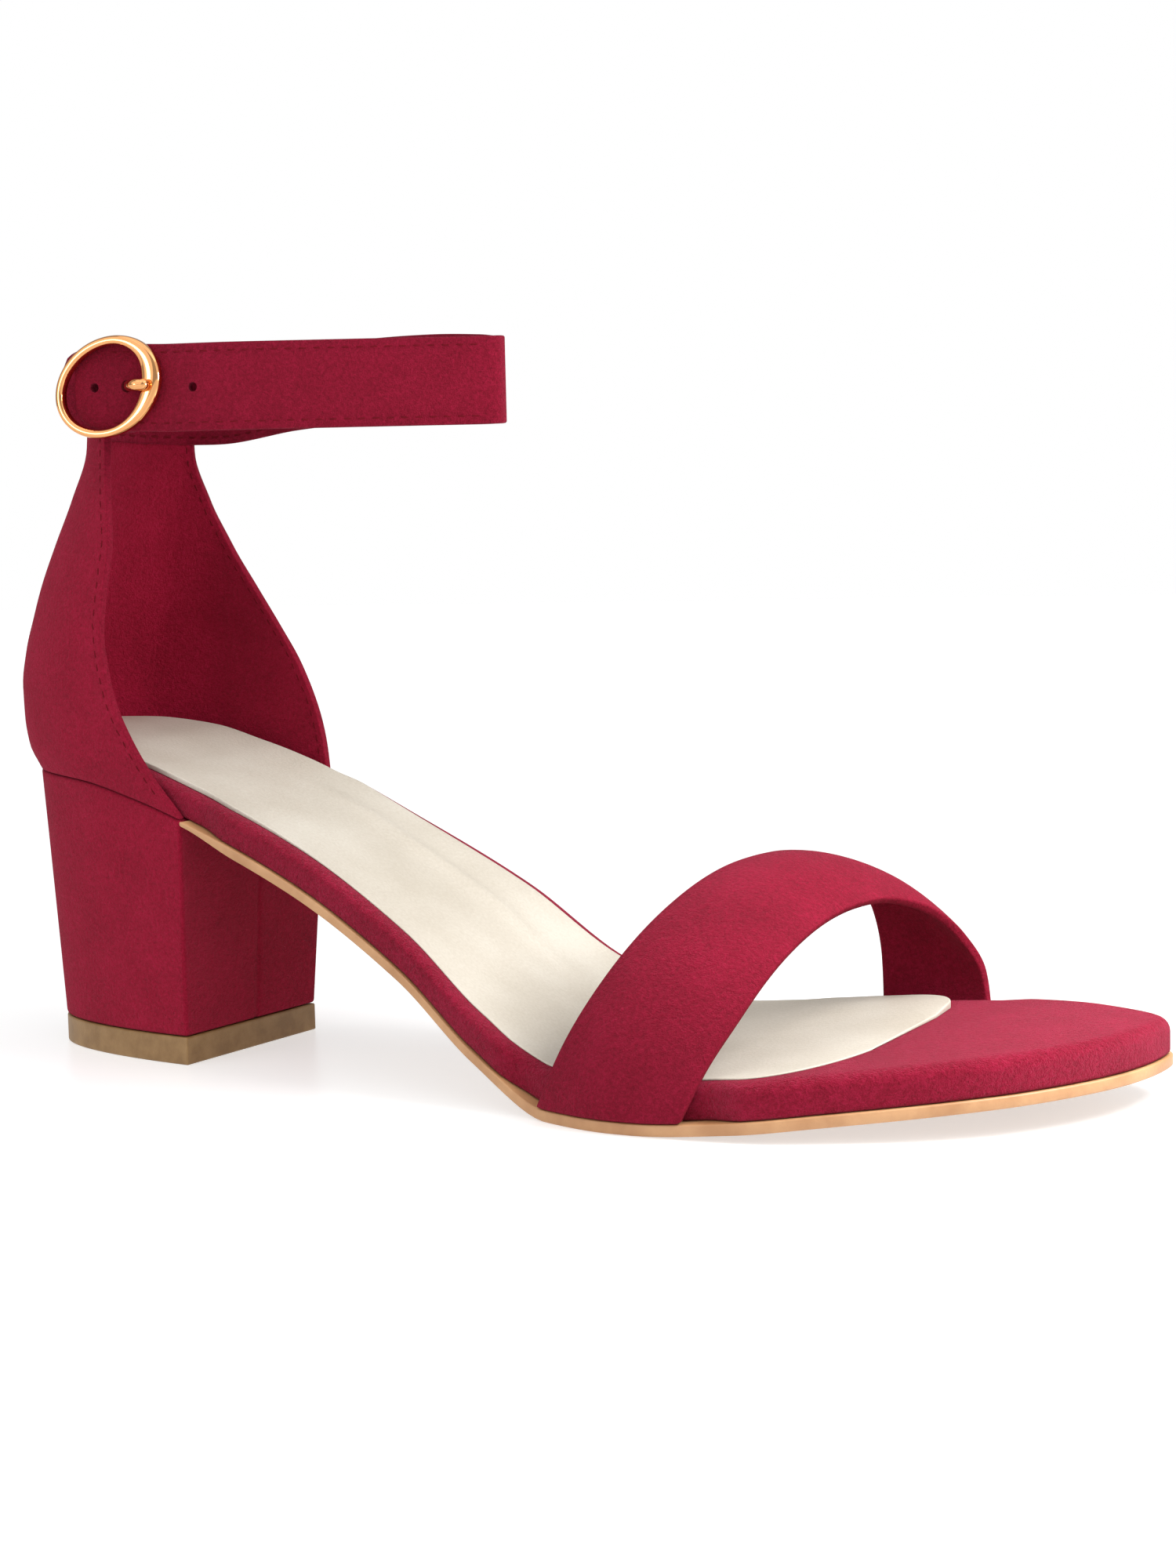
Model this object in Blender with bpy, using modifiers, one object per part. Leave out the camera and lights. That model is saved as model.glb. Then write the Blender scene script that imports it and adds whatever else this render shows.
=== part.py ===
"""Block heel sandal, right shoe: suede toe band, closed counter with ankle strap, block heel.

The tables and sizes are in millimetres and are scaled to metres when a mesh is made.
+X runs to the toe, +Y to the inner (medial) side and +Z up from the floor. Stations
along the shoe start at the rear of the heel seat; the origin is under the heel.
"""

import math

import bmesh
import bpy
from mathutils import Vector

MM = 0.001

# Main sizes
LENGTH = 228.5
BALL_WIDTH = 84.0
SEAT_LENGTH = 49.5
SEAT_HEIGHT = 54.7
TOE_SPRING = 5.6
GAP = 0.3

# Sole pieces
OUTSOLE_THICKNESS = 2.1
OUTSOLE_MARGIN = 0.5
OUTSOLE_EDGE = 0.5
RIM_THICKNESS = 6.6
RIM_ROUND = 2.6
RIM_EDGE = 0.5
HEEL_PAD = 3.0
CUP_DEPTH = 1.5
ARCH_LIFT = 2.0
ARCH_FROM = 0.1
HOLLOW_FULLNESS = 6
SOCK_THICKNESS = 0.8
SOCK_EDGE = 0.4
SOCK_INSET = 3.1
SOCK_TUCK = 0.6
SOCK_FRONT = 186.5
SOCK_ROUND_FROM = 160.0
SOCK_ROUND_ROWS = 9
SOCK_ROUND_POWER = 0.28
SOCK_ROUND_GROWTH = 4
SOCK_FRONT_CENTRE = 14.0

# Heel
TOP_PIECE_HEIGHT = 5.5
HEEL_REAR = 5.2
HEEL_BASE_LENGTH = 43.8
HEEL_BASE_HALF_WIDTH = 20.1
HEEL_BASE_CENTRE = -2.0
HEEL_BASE_TURN = math.radians(-5.0)
HEEL_SQUARENESS = 3.0
HEEL_REST_X = 27.0

# Upper
COUNTER_WALL = 1.6
COUNTER_TOP = 138.6
BAND_WALL = 1.7
BAND_TUCK = 1.0
BAND_LEAN = 1.1
TUCK_LEAD = 3.5
TUCK_FADE = 7.0
BAND_REAR_RISE = 38.8
BAND_FRONT_RISE = 29.0
BAND_CROWN = 2.7
BAND_BULGE = 2.0
BAND_REAR_RIDGE = 9.5
BAND_FRONT_RIDGE = 7.1
BAND_LATERAL_SQUARENESS = 1.86
BAND_MEDIAL_SQUARENESS = 2.42

# Ankle strap and buckle
STRAP_WIDTH = 16.6
STRAP_THICKNESS = 1.5
STRAP_CENTRE = 130.5
STRAP_INSIDE = 0.3
STRAP_TIP_ROUND = 4.2
TIP_WIDTH = 0.55
LOOP_REACH = 104.3
LOOP_WIDTH = 40.0
BUCKLE_X = 34.3
BUCKLE_Y = -18.9
BUCKLE_TURN = math.radians(8.0)
BUCKLE_WIDTH = 22.6
BUCKLE_DEPTH = 2.4
BUCKLE_LIFT = 0.6
FOLD_LIFT = 0.5
BUCKLE_CLEAR = 1.4
RING_BAND = 1.7
RING_BROAD = 2.2
RING_LEAN = math.radians(11.0)
RING_FLATNESS = 1.25
BAR_RADIUS = 0.55
BAR_MARGIN = 0.4
BAR_JOINT = 0.8
PRONG_RADIUS = 0.7
PRONG_TIP_RADIUS = 1.15
PRONG_PLACE = 0.14
PRONG_END = 1.3
HOLE_RADIUS = 0.9
PRONG_HOLE_RADIUS = 1.45
HOLE_PITCH = 7.0
HOLE_DEPTH = 2.6
FAR_HOLE_DEPTH = 5.0
FAR_HOLE_OUT = 1.9
SLOT_LENGTH = 7.8
SLOT_DEPTH = 5.8
SLOT_CENTRE = (0.9, -0.3)

# How finely the curves are divided
SOLE_ROWS = 44
HEEL_ROWS = 10
COUNTER_COLUMNS = 26
BAND_COLUMNS = 26
STRAP_STEP = 3.2
RING_ROWS = 36
RING_CORNERS = 8

# Widths are shares of BALL_WIDTH, stations are shares of LENGTH.
OUTLINE = (
    ("station", "lateral", "medial"),
    (0.000, 0.000, 0.000),
    (0.018, -0.134, 0.160),
    (0.061, -0.240, 0.262),
    (0.130, -0.298, 0.297),
    (0.226, -0.319, 0.287),
    (0.326, -0.326, 0.262),
    (0.435, -0.363, 0.288),
    (0.544, -0.440, 0.362),
    (0.652, -0.522, 0.450),
    (0.748, -0.502, 0.466),
    (0.835, -0.418, 0.440),
    (0.913, -0.288, 0.379),
    (0.965, -0.120, 0.300),
    (1.000, 0.185, 0.185),
)

# Underside of the sole: seat is a share of SEAT_HEIGHT, spring of TOE_SPRING, cup of
# CUP_DEPTH, pad of HEEL_PAD and arch of ARCH_LIFT.
PROFILE = (
    ("station", "seat", "spring", "cup", "pad", "arch"),
    (0.000, 1.000, 0.000, 1.00, 1.00, 0.00),
    (0.060, 0.986, 0.000, 1.00, 0.78, 0.00),
    (0.109, 0.969, 0.000, 1.00, 0.44, 0.10),
    (0.165, 0.915, 0.000, 0.96, 0.10, 0.35),
    (0.226, 0.830, 0.000, 0.90, 0.00, 0.60),
    (0.326, 0.646, 0.000, 0.60, 0.00, 0.70),
    (0.435, 0.383, 0.000, 0.45, 0.00, 1.00),
    (0.513, 0.146, 0.000, 0.40, 0.00, 0.50),
    (0.590, 0.000, 0.000, 0.35, 0.00, 0.00),
    (0.665, 0.000, 0.000, 0.30, 0.00, 0.00),
    (0.740, 0.000, 0.200, 0.15, 0.00, 0.00),
    (0.804, 0.000, 0.480, 0.00, 0.00, 0.00),
    (0.922, 0.000, 0.870, 0.00, 0.00, 0.00),
    (1.000, 0.000, 1.000, 0.00, 0.00, 0.00),
)

# The counter from its lower seam (level 0) to its top (level 1). Rear and front places are
# shares of SEAT_LENGTH, depth and widths scale the seat's own outline.
COUNTER = (
    ("level", "rear", "depth", "lateral", "medial", "front_lateral", "front_medial"),
    (0.00, 0.000, 1.000, 1.000, 1.000, 1.000, 1.050),
    (0.06, -0.048, 0.970, 1.025, 1.020, 0.880, 1.035),
    (0.13, -0.060, 0.955, 1.045, 1.050, 0.785, 1.010),
    (0.20, -0.060, 0.940, 1.050, 1.065, 0.715, 0.968),
    (0.29, -0.034, 0.910, 1.035, 1.060, 0.665, 0.888),
    (0.37, 0.010, 0.860, 1.005, 1.040, 0.640, 0.790),
    (0.45, 0.058, 0.815, 0.970, 1.005, 0.645, 0.694),
    (0.55, 0.133, 0.750, 0.912, 0.950, 0.655, 0.588),
    (0.66, 0.220, 0.690, 0.845, 0.885, 0.622, 0.515),
    (0.78, 0.296, 0.635, 0.780, 0.805, 0.582, 0.488),
    (1.00, 0.318, 0.620, 0.770, 0.795, 0.586, 0.490),
)

# The toe band over the foot, from its outer foot (turn 0) to its inner foot (turn 1).
# Rear and front edges are shares of LENGTH.
BAND = (
    ("turn", "rear", "front"),
    (0.00, 0.580, 0.706),
    (0.10, 0.601, 0.721),
    (0.20, 0.623, 0.737),
    (0.32, 0.646, 0.749),
    (0.43, 0.665, 0.759),
    (0.50, 0.680, 0.767),
    (0.60, 0.695, 0.778),
    (0.70, 0.716, 0.796),
    (0.80, 0.729, 0.813),
    (0.90, 0.732, 0.827),
    (1.00, 0.732, 0.830),
)

# The ankle strap forward of the counter, down the inner side, round the front fold and back
# along the outer side. Along is a share of LOOP_REACH, across one of LOOP_WIDTH, lift one of
# STRAP_WIDTH.
LOOP = (
    ("along", "across", "lift"),
    (0.330, 0.430, -0.030),
    (0.480, 0.440, 0.090),
    (0.660, 0.400, 0.130),
    (0.820, 0.320, 0.110),
    (0.940, 0.235, 0.050),
    (0.978, 0.205, 0.015),
    (0.993, 0.182, 0.010),
    (0.991, 0.150, 0.005),
    (0.970, 0.110, 0.000),
    (0.850, -0.055, 0.000),
    (0.700, -0.255, 0.000),
    (0.560, -0.435, 0.000),
)

# The strap's tip end as (along the buckle, lift) in mm, and its folded end round the bar in
# shares of the fold's radius. The strap runs in the counter's wall at TUNNEL_LEVEL.
STRAP_END = ((16.5, 0.0), (11.0, 0.1), (5.0, 0.4), (0.0, 0.6), (-4.5, 0.9), (-8.4, 1.2))
FOLD = ((-7.9, -0.02), (-4.8, -0.02), (-3.06, 0.03), (-2.0, 0.32), (-0.94, 0.79))
TUNNEL_LEVEL = 0.9
TUNNEL_TURNS = (-0.84, 0.90)
TUNNEL_ROWS = 14


def slopes(xs, ys):
    """Slopes at the points of a curve that never overshoots them."""
    steps = [(ys[i + 1] - ys[i]) / (xs[i + 1] - xs[i]) for i in range(len(xs) - 1)]
    inner = [0.0 if a * b <= 0 else 2 * a * b / (a + b) for a, b in zip(steps, steps[1:])]
    return [steps[0]] + inner + [steps[-1]]


def curve_at(xs, ys, at):
    """Value at one place of the smooth curve through the points."""
    at = min(max(at, xs[0]), xs[-1])
    i = max(k for k in range(len(xs) - 1) if xs[k] <= at)
    tangents = slopes(xs, ys)
    width = xs[i + 1] - xs[i]
    t = (at - xs[i]) / width
    start = (1 + 2 * t) * (1 - t) ** 2 * ys[i] + t * (1 - t) ** 2 * width * tangents[i]
    end = t * t * (3 - 2 * t) * ys[i + 1] + t * t * (t - 1) * width * tangents[i + 1]
    return start + end


def read(table, name, at):
    """One named column of a table at a value of its first column."""
    column = table[0].index(name)
    xs = [row[0] for row in table[1:]]
    ys = [row[column] for row in table[1:]]
    return curve_at(xs, ys, at)


def round_angle(station):
    """Station as an angle, so that the outline is round at both ends."""
    return math.acos(1 - 2 * min(max(station, 0.0), 1.0))


def outline_y(side, x):
    """Edge of the sole's plan on one side, in mm, at a distance from the rear."""
    column = OUTLINE[0].index(side)
    angles = [round_angle(row[0]) for row in OUTLINE[1:]]
    shares = [row[column] for row in OUTLINE[1:]]
    return BALL_WIDTH * curve_at(angles, shares, round_angle(x / LENGTH))


def underside(x):
    station = x / LENGTH
    seat = SEAT_HEIGHT * read(PROFILE, "seat", station)
    return seat + TOE_SPRING * read(PROFILE, "spring", station)


def seam(x):
    """Top of the outsole, where heel, counter and toe band meet the footbed."""
    return underside(x) + OUTSOLE_THICKNESS


def smooth_step(value, low, high):
    t = min(max((value - low) / (high - low), 0.0), 1.0)
    return t * t * (3 - 2 * t)


def footbed(x, y):
    """Top of the footbed, hollowed a little and raised at the back and under the arch."""
    low = outline_y("lateral", x)
    high = outline_y("medial", x)
    across = 0.0
    if high - low > 1e-6:
        across = min(1.0, max(-1.0, 2 * (y - low) / (high - low) - 1))
    station = x / LENGTH
    hollow = CUP_DEPTH * read(PROFILE, "cup", station) * (1 - abs(across) ** HOLLOW_FULLNESS)
    pad = HEEL_PAD * read(PROFILE, "pad", station)
    arch = ARCH_LIFT * read(PROFILE, "arch", station) * smooth_step(across, ARCH_FROM, 1.0)
    return seam(x) + RIM_THICKNESS + pad + arch - hollow


def tuck(side, x):
    """How far the footbed's side is drawn in under the counter and the toe band."""
    counter_end = SEAT_LENGTH * read(COUNTER, "front_" + side, 0.0)
    counter_end += TUCK_LEAD
    counter = (COUNTER_WALL + GAP) * (1 - smooth_step(x, counter_end, counter_end + TUCK_FADE))
    row = 0.0 if side == "lateral" else 1.0
    rear = LENGTH * read(BAND, "rear", row) - TUCK_LEAD
    front = LENGTH * read(BAND, "front", row) + TUCK_LEAD
    inside = smooth_step(x, rear - TUCK_FADE, rear) * (1 - smooth_step(x, front, front + TUCK_FADE))
    return counter + (BAND_TUCK + BAND_LEAN) * inside


def stations():
    """Distances from the rear that all sole pieces share, closer together at the round ends."""
    return [LENGTH * (1 - math.cos(math.pi * i / SOLE_ROWS)) / 2 for i in range(SOLE_ROWS + 1)]


def drawn_in(rows, inset):
    """Pairs of plan points moved inwards, square to the outline. Inset reads (side, x)."""
    loop = [row[0] for row in rows] + [row[1] for row in reversed(rows)]
    sides = ["lateral"] * len(rows) + ["medial"] * len(rows)
    moved = []
    for i, (x, y) in enumerate(loop):
        before = i - 1
        while loop[before] == (x, y):
            before -= 1
        after = (i + 1) % len(loop)
        while loop[after] == (x, y):
            after = (after + 1) % len(loop)
        back = Vector((x - loop[before][0], y - loop[before][1])).normalized()
        ahead = Vector((loop[after][0] - x, loop[after][1] - y)).normalized()
        along = (back + ahead).normalized()
        reach = inset(sides[i], x) / max(along.dot(ahead), 0.5)
        moved.append((x - along.y * reach, y + along.x * reach))
    count = len(rows)
    return [(moved[i], moved[2 * count - 1 - i]) for i in range(count)]


def plan_rows(xs):
    return [((x, outline_y("lateral", x)), (x, outline_y("medial", x))) for x in xs]


def raised(rows, height):
    """Plan pairs given a height, which reads (x, y)."""
    return [tuple((x, y, height(x, y)) for x, y in row) for row in rows]


def mesh_object(name, material, build):
    """New object whose mesh is filled by build(bm), in mm."""
    mesh = bpy.data.meshes.new(name)
    bm = bmesh.new()
    build(bm)
    bmesh.ops.recalc_face_normals(bm, faces=bm.faces)
    bmesh.ops.scale(bm, vec=(MM, MM, MM), verts=bm.verts)
    bm.to_mesh(mesh)
    bm.free()
    mesh.materials.append(material)
    mesh.shade_smooth()
    mesh.set_sharp_from_angle(angle=math.radians(40))
    obj = bpy.data.objects.new(name, mesh)
    bpy.data.collections["block_heel_sandal"].objects.link(obj)
    return obj


def add_face(bm, corners):
    """Face between corners, without the ones that repeat at a round end."""
    kept = []
    for corner in corners:
        if corner not in kept:
            kept.append(corner)
    if len(kept) > 2:
        bm.faces.new(kept)


def stack(bm, levels, columns, top, bottom):
    """Closed solid from levels of paired edge points. Top and bottom give the caps' heights."""
    rings = []
    for rows in levels:
        ring = []
        for low, high in rows:
            first = bm.verts.new(low)
            closed_end = (Vector(low) - Vector(high)).length < 1e-4
            ring.append((first, first if closed_end else bm.verts.new(high)))
        rings.append(ring)
    for lower, upper in zip(rings, rings[1:]):
        for j in range(len(lower) - 1):
            add_face(bm, [lower[j][0], lower[j + 1][0], upper[j + 1][0], upper[j][0]])
            add_face(bm, [lower[j + 1][1], lower[j][1], upper[j][1], upper[j + 1][1]])
    floor = cap(bm, rings[0], columns, bottom)
    roof = cap(bm, rings[-1], columns, top)
    for j in (0, -1):
        if rings[0][j][0] is rings[0][j][1]:
            continue
        rising = [ring[j][1] for ring in rings[1:-1]]
        falling = [ring[j][0] for ring in reversed(rings[1:-1])]
        add_face(bm, floor[j] + rising + roof[j][::-1] + falling)


def cap(bm, ring, columns, height):
    """Close one level and return its grid of points."""
    grid = []
    for low, high in ring:
        line = [low]
        for k in range(1, columns):
            if low is high:
                line.append(low)
                continue
            place = low.co.lerp(high.co, k / columns)
            line.append(bm.verts.new((place.x, place.y, height(place.x, place.y))))
        grid.append(line + [high])
    for near, far in zip(grid, grid[1:]):
        for k in range(columns):
            add_face(bm, [near[k], far[k], far[k + 1], near[k + 1]])
    return grid


def sheet(bm, grid):
    """Open surface through a grid of points."""
    verts = [[bm.verts.new(point) for point in line] for line in grid]
    for near, far in zip(verts, verts[1:]):
        for k in range(len(near) - 1):
            bm.faces.new([near[k], far[k], far[k + 1], near[k + 1]])


def rounded_levels(rows, low, high, inset, bottom_edge, top_edge, steps):
    """Levels of a plate with a small lower edge and a round upper edge."""
    levels = []
    shapes = [(bottom_edge, low, 0.0), (0.0, low, bottom_edge)]
    for i in range(steps + 1):
        angle = math.pi / 2 * i / steps
        drop = top_edge * (math.sin(angle) - 1)
        shapes.append((top_edge * (1 - math.cos(angle)), high, drop))
    for extra, surface, offset in shapes:
        moved = drawn_in(rows, lambda side, x: inset(side, x) + extra)
        levels.append(raised(moved, lambda x, y: surface(x, y) + offset))
    return levels


def make_outsole(material):
    """Thin sole from the heel's breast to the toe."""
    start = SEAT_LENGTH + GAP + OUTSOLE_MARGIN
    rows = plan_rows([start] + [x for x in stations() if x > start + 1])
    shapes = (
        (OUTSOLE_EDGE, 0.0),
        (0.0, OUTSOLE_EDGE),
        (0.0, OUTSOLE_THICKNESS),
    )

    def build(bm):
        levels = []
        for inset, lift in shapes:
            moved = drawn_in(rows, lambda side, x: inset - OUTSOLE_MARGIN)
            levels.append(raised(moved, lambda x, y: underside(x) + lift))
        stack(bm, levels, 2, lambda x, y: seam(x), lambda x, y: underside(x))

    return mesh_object("outsole", material, build)


def make_platform(material):
    """Covered footbed with a round upper edge, drawn in under the counter and the band."""
    rows = plan_rows(stations())

    def low(x, y):
        return seam(x) + GAP

    def build(bm):
        levels = rounded_levels(rows, low, footbed, tuck, RIM_EDGE, RIM_ROUND, 3)
        stack(bm, levels, 6, footbed, low)

    return mesh_object("platform", material, build)


def sock_rows():
    """Plan of the sock: the footbed's, drawn in, with a round front before the toes."""
    span = SOCK_FRONT - SOCK_ROUND_FROM
    front = [math.sin(math.pi / 2 * i / SOCK_ROUND_ROWS) for i in range(SOCK_ROUND_ROWS + 1)]
    xs = [x for x in stations() if x < SOCK_ROUND_FROM - 2]
    xs += [SOCK_ROUND_FROM + span * share for share in front]
    rows = drawn_in(plan_rows(xs), lambda side, x: SOCK_INSET + SOCK_TUCK * tuck(side, x))
    shaped = []
    for row in rows:
        pair = []
        for x, y in row:
            ahead = max(0.0, (x - SOCK_ROUND_FROM) / span)
            share = max(0.0, 1 - ahead**SOCK_ROUND_GROWTH) ** SOCK_ROUND_POWER
            pair.append((x, SOCK_FRONT_CENTRE + (y - SOCK_FRONT_CENTRE) * share))
        shaped.append(tuple(pair))
    shaped[-1] = ((SOCK_FRONT, SOCK_FRONT_CENTRE), (SOCK_FRONT, SOCK_FRONT_CENTRE))
    return shaped


def make_insole(material):
    """Padded sock on the footbed."""
    rows = sock_rows()

    def low(x, y):
        return footbed(x, y) + GAP

    def high(x, y):
        return footbed(x, y) + GAP + SOCK_THICKNESS

    def build(bm):
        levels = [raised(rows, low), raised(rows, lambda x, y: high(x, y) - SOCK_EDGE)]
        levels.append(raised(drawn_in(rows, lambda side, x: SOCK_EDGE), high))
        stack(bm, levels, 6, high, low)

    return mesh_object("insole", material, build)


def heel_base_rows():
    """Plan of the heel's foot: straight breast, full sides and a round back."""
    rows = []
    cos = math.cos(HEEL_BASE_TURN)
    sin = math.sin(HEEL_BASE_TURN)
    for i in range(HEEL_ROWS + 1):
        along = 1 - math.cos(math.pi / 2 * i / HEEL_ROWS)
        half = HEEL_BASE_HALF_WIDTH * (1 - (1 - along) ** 2) ** (1 / HEEL_SQUARENESS)
        x = HEEL_BASE_LENGTH * (along - 0.5)
        centre = HEEL_REAR + HEEL_BASE_LENGTH / 2
        pair = []
        for y in (-half, half):
            pair.append((centre + x * cos - y * sin, HEEL_BASE_CENTRE + x * sin + y * cos))
        rows.append(tuple(pair))
    return rows


def make_top_piece(material):
    rows = heel_base_rows()

    def build(bm):
        levels = [raised(rows, lambda x, y: 0.0), raised(rows, lambda x, y: TOP_PIECE_HEIGHT)]
        stack(bm, levels, 2, lambda x, y: TOP_PIECE_HEIGHT, lambda x, y: 0.0)

    return mesh_object("top_piece", material, build)


def make_heel_block(material):
    """Covered heel, from its D-shaped foot up to the seat."""
    foot = raised(heel_base_rows(), lambda x, y: TOP_PIECE_HEIGHT + GAP)
    xs = [SEAT_LENGTH * (1 - math.cos(math.pi / 2 * i / HEEL_ROWS)) for i in range(HEEL_ROWS + 1)]
    seat = raised(plan_rows(xs), lambda x, y: seam(x))

    def build(bm):
        levels = []
        for share in (0.0, 0.5, 1.0):
            rows = []
            for low, high in zip(foot, seat):
                rows.append(tuple(Vector(a).lerp(Vector(b), share) for a, b in zip(low, high)))
            levels.append(rows)
        stack(bm, levels, 2, lambda x, y: seam(x), lambda x, y: TOP_PIECE_HEIGHT + GAP)

    return mesh_object("heel_block", material, build)


def counter_point(level, turn):
    """Outer face of the counter. Turn runs from -1, lateral front, to 1, medial front."""
    side = "lateral" if turn < 0 else "medial"
    rear = SEAT_LENGTH * read(COUNTER, "rear", level)
    front = SEAT_LENGTH * read(COUNTER, "front_" + side, level)
    x = rear + (front - rear) * (1 - math.cos(math.pi / 2 * abs(turn)))
    y = outline_y(side, (x - rear) / read(COUNTER, "depth", level)) * read(COUNTER, side, level)
    low = seam(x) + GAP
    return (x, y, low + (COUNTER_TOP - low) * level)


def make_counter(material):
    """Closed back of the upper, open at the top and the front, with a wall of its real thickness."""
    levels = [0.0, 0.05, 0.10, 0.16, 0.24, 0.32, 0.40, 0.48, 0.57, 0.67, 0.78, 0.89, 1.0]
    turns = [2 * i / COUNTER_COLUMNS - 1 for i in range(COUNTER_COLUMNS + 1)]
    grid = [[counter_point(level, turn) for turn in turns] for level in levels]
    obj = mesh_object("heel_upper", material, lambda bm: sheet(bm, grid))
    face_away_from(obj, (SEAT_LENGTH * 0.5, 0, COUNTER_TOP / 2))
    thicken(obj, COUNTER_WALL, -1.0)
    return obj


def face_away_from(obj, point):
    """Turn an open surface's faces away from a point inside it, in mm."""
    mesh = obj.data
    inside = Vector(point) * MM
    outward = sum((face.center - inside).dot(face.normal) * face.area for face in mesh.polygons)
    if outward < 0:
        mesh.flip_normals()


def thicken(obj, thickness, offset):
    solidify = obj.modifiers.new("wall", "SOLIDIFY")
    solidify.thickness = thickness * MM
    solidify.offset = offset
    solidify.use_even_offset = True
    solidify.use_rim = True


def band_point(turn, width_share):
    """Outer face of the toe band. Turn runs over the foot, width_share from rear to front edge."""
    rear = LENGTH * read(BAND, "rear", turn)
    front = LENGTH * read(BAND, "front", turn)
    x = rear + (front - rear) * width_share
    ridge = BAND_REAR_RIDGE + (BAND_FRONT_RIDGE - BAND_REAR_RIDGE) * width_share
    rise = BAND_REAR_RISE + (BAND_FRONT_RISE - BAND_REAR_RISE) * width_share
    rise += BAND_CROWN * 4 * width_share * (1 - width_share)
    side = "lateral" if turn < 0.5 else "medial"
    proud = BAND_WALL + GAP - BAND_TUCK
    edge = outline_y(side, x) + (-proud if turn < 0.5 else proud)
    angle = math.pi * turn
    power = 2 / (BAND_LATERAL_SQUARENESS if turn < 0.5 else BAND_MEDIAL_SQUARENESS)
    y = ridge + (edge - ridge) * abs(math.cos(angle)) ** power
    y += BAND_BULGE * 4 * width_share * (1 - width_share) * max(0.0, -math.sin(2 * angle))
    z = seam(x) + 2 * GAP + rise * math.sin(angle) ** power
    return (x, y, z)


def make_toe_band(material):
    turns = [i / BAND_COLUMNS for i in range(BAND_COLUMNS + 1)]
    widths = [0.0, 0.25, 0.5, 0.75, 1.0]
    grid = [[band_point(turn, width) for turn in turns] for width in widths]
    obj = mesh_object("toe_band", material, lambda bm: sheet(bm, grid))
    face_away_from(obj, (LENGTH * 0.71, 0, 0))
    thicken(obj, BAND_WALL, -1.0)
    return obj


def buckle_place(along, outward):
    """Plan point in the buckle's own directions: along the strap and away from the ankle."""
    cos = math.cos(BUCKLE_TURN)
    sin = math.sin(BUCKLE_TURN)
    return (BUCKLE_X + along * cos + outward * sin, BUCKLE_Y + along * sin - outward * cos)


def bar_loop():
    """The strap's short end, folded back round the buckle's bar."""
    radius = BAR_RADIUS + GAP + STRAP_THICKNESS / 2
    points = [(along * radius, out * radius) for along, out in FOLD]
    for i in range(9):
        angle = math.pi / 2 - math.pi * i / 8
        points.append((radius * math.cos(angle), radius * math.sin(angle)))
    return [buckle_place(*point) for point in points]


def tunnel_path():
    """The strap's way round the heel, inside the wall of the counter's top."""
    depth = COUNTER_WALL / 2 + STRAP_INSIDE
    first, last = TUNNEL_TURNS
    turns = [first + (last - first) * i / TUNNEL_ROWS for i in range(TUNNEL_ROWS + 1)]
    points = [counter_point(TUNNEL_LEVEL, turn) for turn in turns]
    path = []
    for i, point in enumerate(points):
        before = points[max(i - 1, 0)]
        after = points[min(i + 1, len(points) - 1)]
        along = Vector((after[0] - before[0], after[1] - before[1])).normalized()
        path.append((point[0] + along.y * depth, point[1] - along.x * depth))
    return path


def layer_offset():
    """From the buckle's bar to the middle of the long strap, which lies over the folded end."""
    return BAR_RADIUS + GAP + STRAP_THICKNESS + GAP + STRAP_THICKNESS / 2


def strap_path():
    """Middle of the strap in plan, with its lift, from the folded end to the free tip."""
    path = [(x, y, FOLD_LIFT) for x, y in bar_loop()]
    tunnel = tunnel_path()
    entry = LOOP[1][2] * STRAP_WIDTH
    for i, (x, y) in enumerate(tunnel):
        path.append((x, y, FOLD_LIFT + (entry - FOLD_LIFT) * i / (len(tunnel) - 1)))
    for along, across, lift in LOOP[1:]:
        path.append((along * LOOP_REACH, across * LOOP_WIDTH, lift * STRAP_WIDTH))
    over = layer_offset()
    for along, lift in STRAP_END:
        path.append((*buckle_place(along, over), lift))
    return path


def through(points, step):
    """Smooth curve through points, sampled about every step mm but at least at each point."""
    points = [Vector(point) for point in points]
    ends = [2 * points[0] - points[1]] + points + [2 * points[-1] - points[-2]]
    sampled = []
    for before, start, end, after in zip(ends, ends[1:], ends[2:], ends[3:]):
        length = (end - start).length
        into = (end - before).normalized() * length
        out = (after - start).normalized() * length
        count = max(1, round(length / step))
        for i in range(count):
            t = i / count
            a = (1 + 2 * t) * (1 - t) ** 2
            b = t * (1 - t) ** 2
            c = t * t * (3 - 2 * t)
            d = t * t * (t - 1)
            sampled.append(a * start + b * into + c * end + d * out)
    return sampled + [points[-1]]


def half_width_at(rest):
    """Half the strap's width at a distance from one of its ends, which are rounded."""
    short = max(0.0, 1 - rest / STRAP_TIP_ROUND)
    return STRAP_WIDTH / 2 * (TIP_WIDTH + (1 - TIP_WIDTH) * math.sqrt(1 - short**2))


def make_strap(material):
    path = through(strap_path(), STRAP_STEP)
    grid = []
    for index, (x, y, lift) in enumerate(path):
        end = path[-1] if index > len(path) / 2 else path[0]
        half = half_width_at((path[index] - end).length)
        middle = STRAP_CENTRE + lift
        grid.append([(x, y, middle - half), (x, y, middle), (x, y, middle + half)])
    obj = mesh_object("ankle_strap", material, lambda bm: sheet(bm, grid))
    thicken(obj, STRAP_THICKNESS, 0.0)
    return obj


def as_cutter(obj):
    """Take an object out of the part and keep it as a tool for a Boolean."""
    obj.hide_render = True
    obj.display_type = "WIRE"
    bpy.data.collections["block_heel_sandal"].objects.unlink(obj)
    bpy.data.collections["cutters"].objects.link(obj)


def combine(obj, other, operation):
    boolean = obj.modifiers.new(other.name, "BOOLEAN")
    boolean.operation = operation
    boolean.solver = "EXACT"
    boolean.object = other


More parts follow.
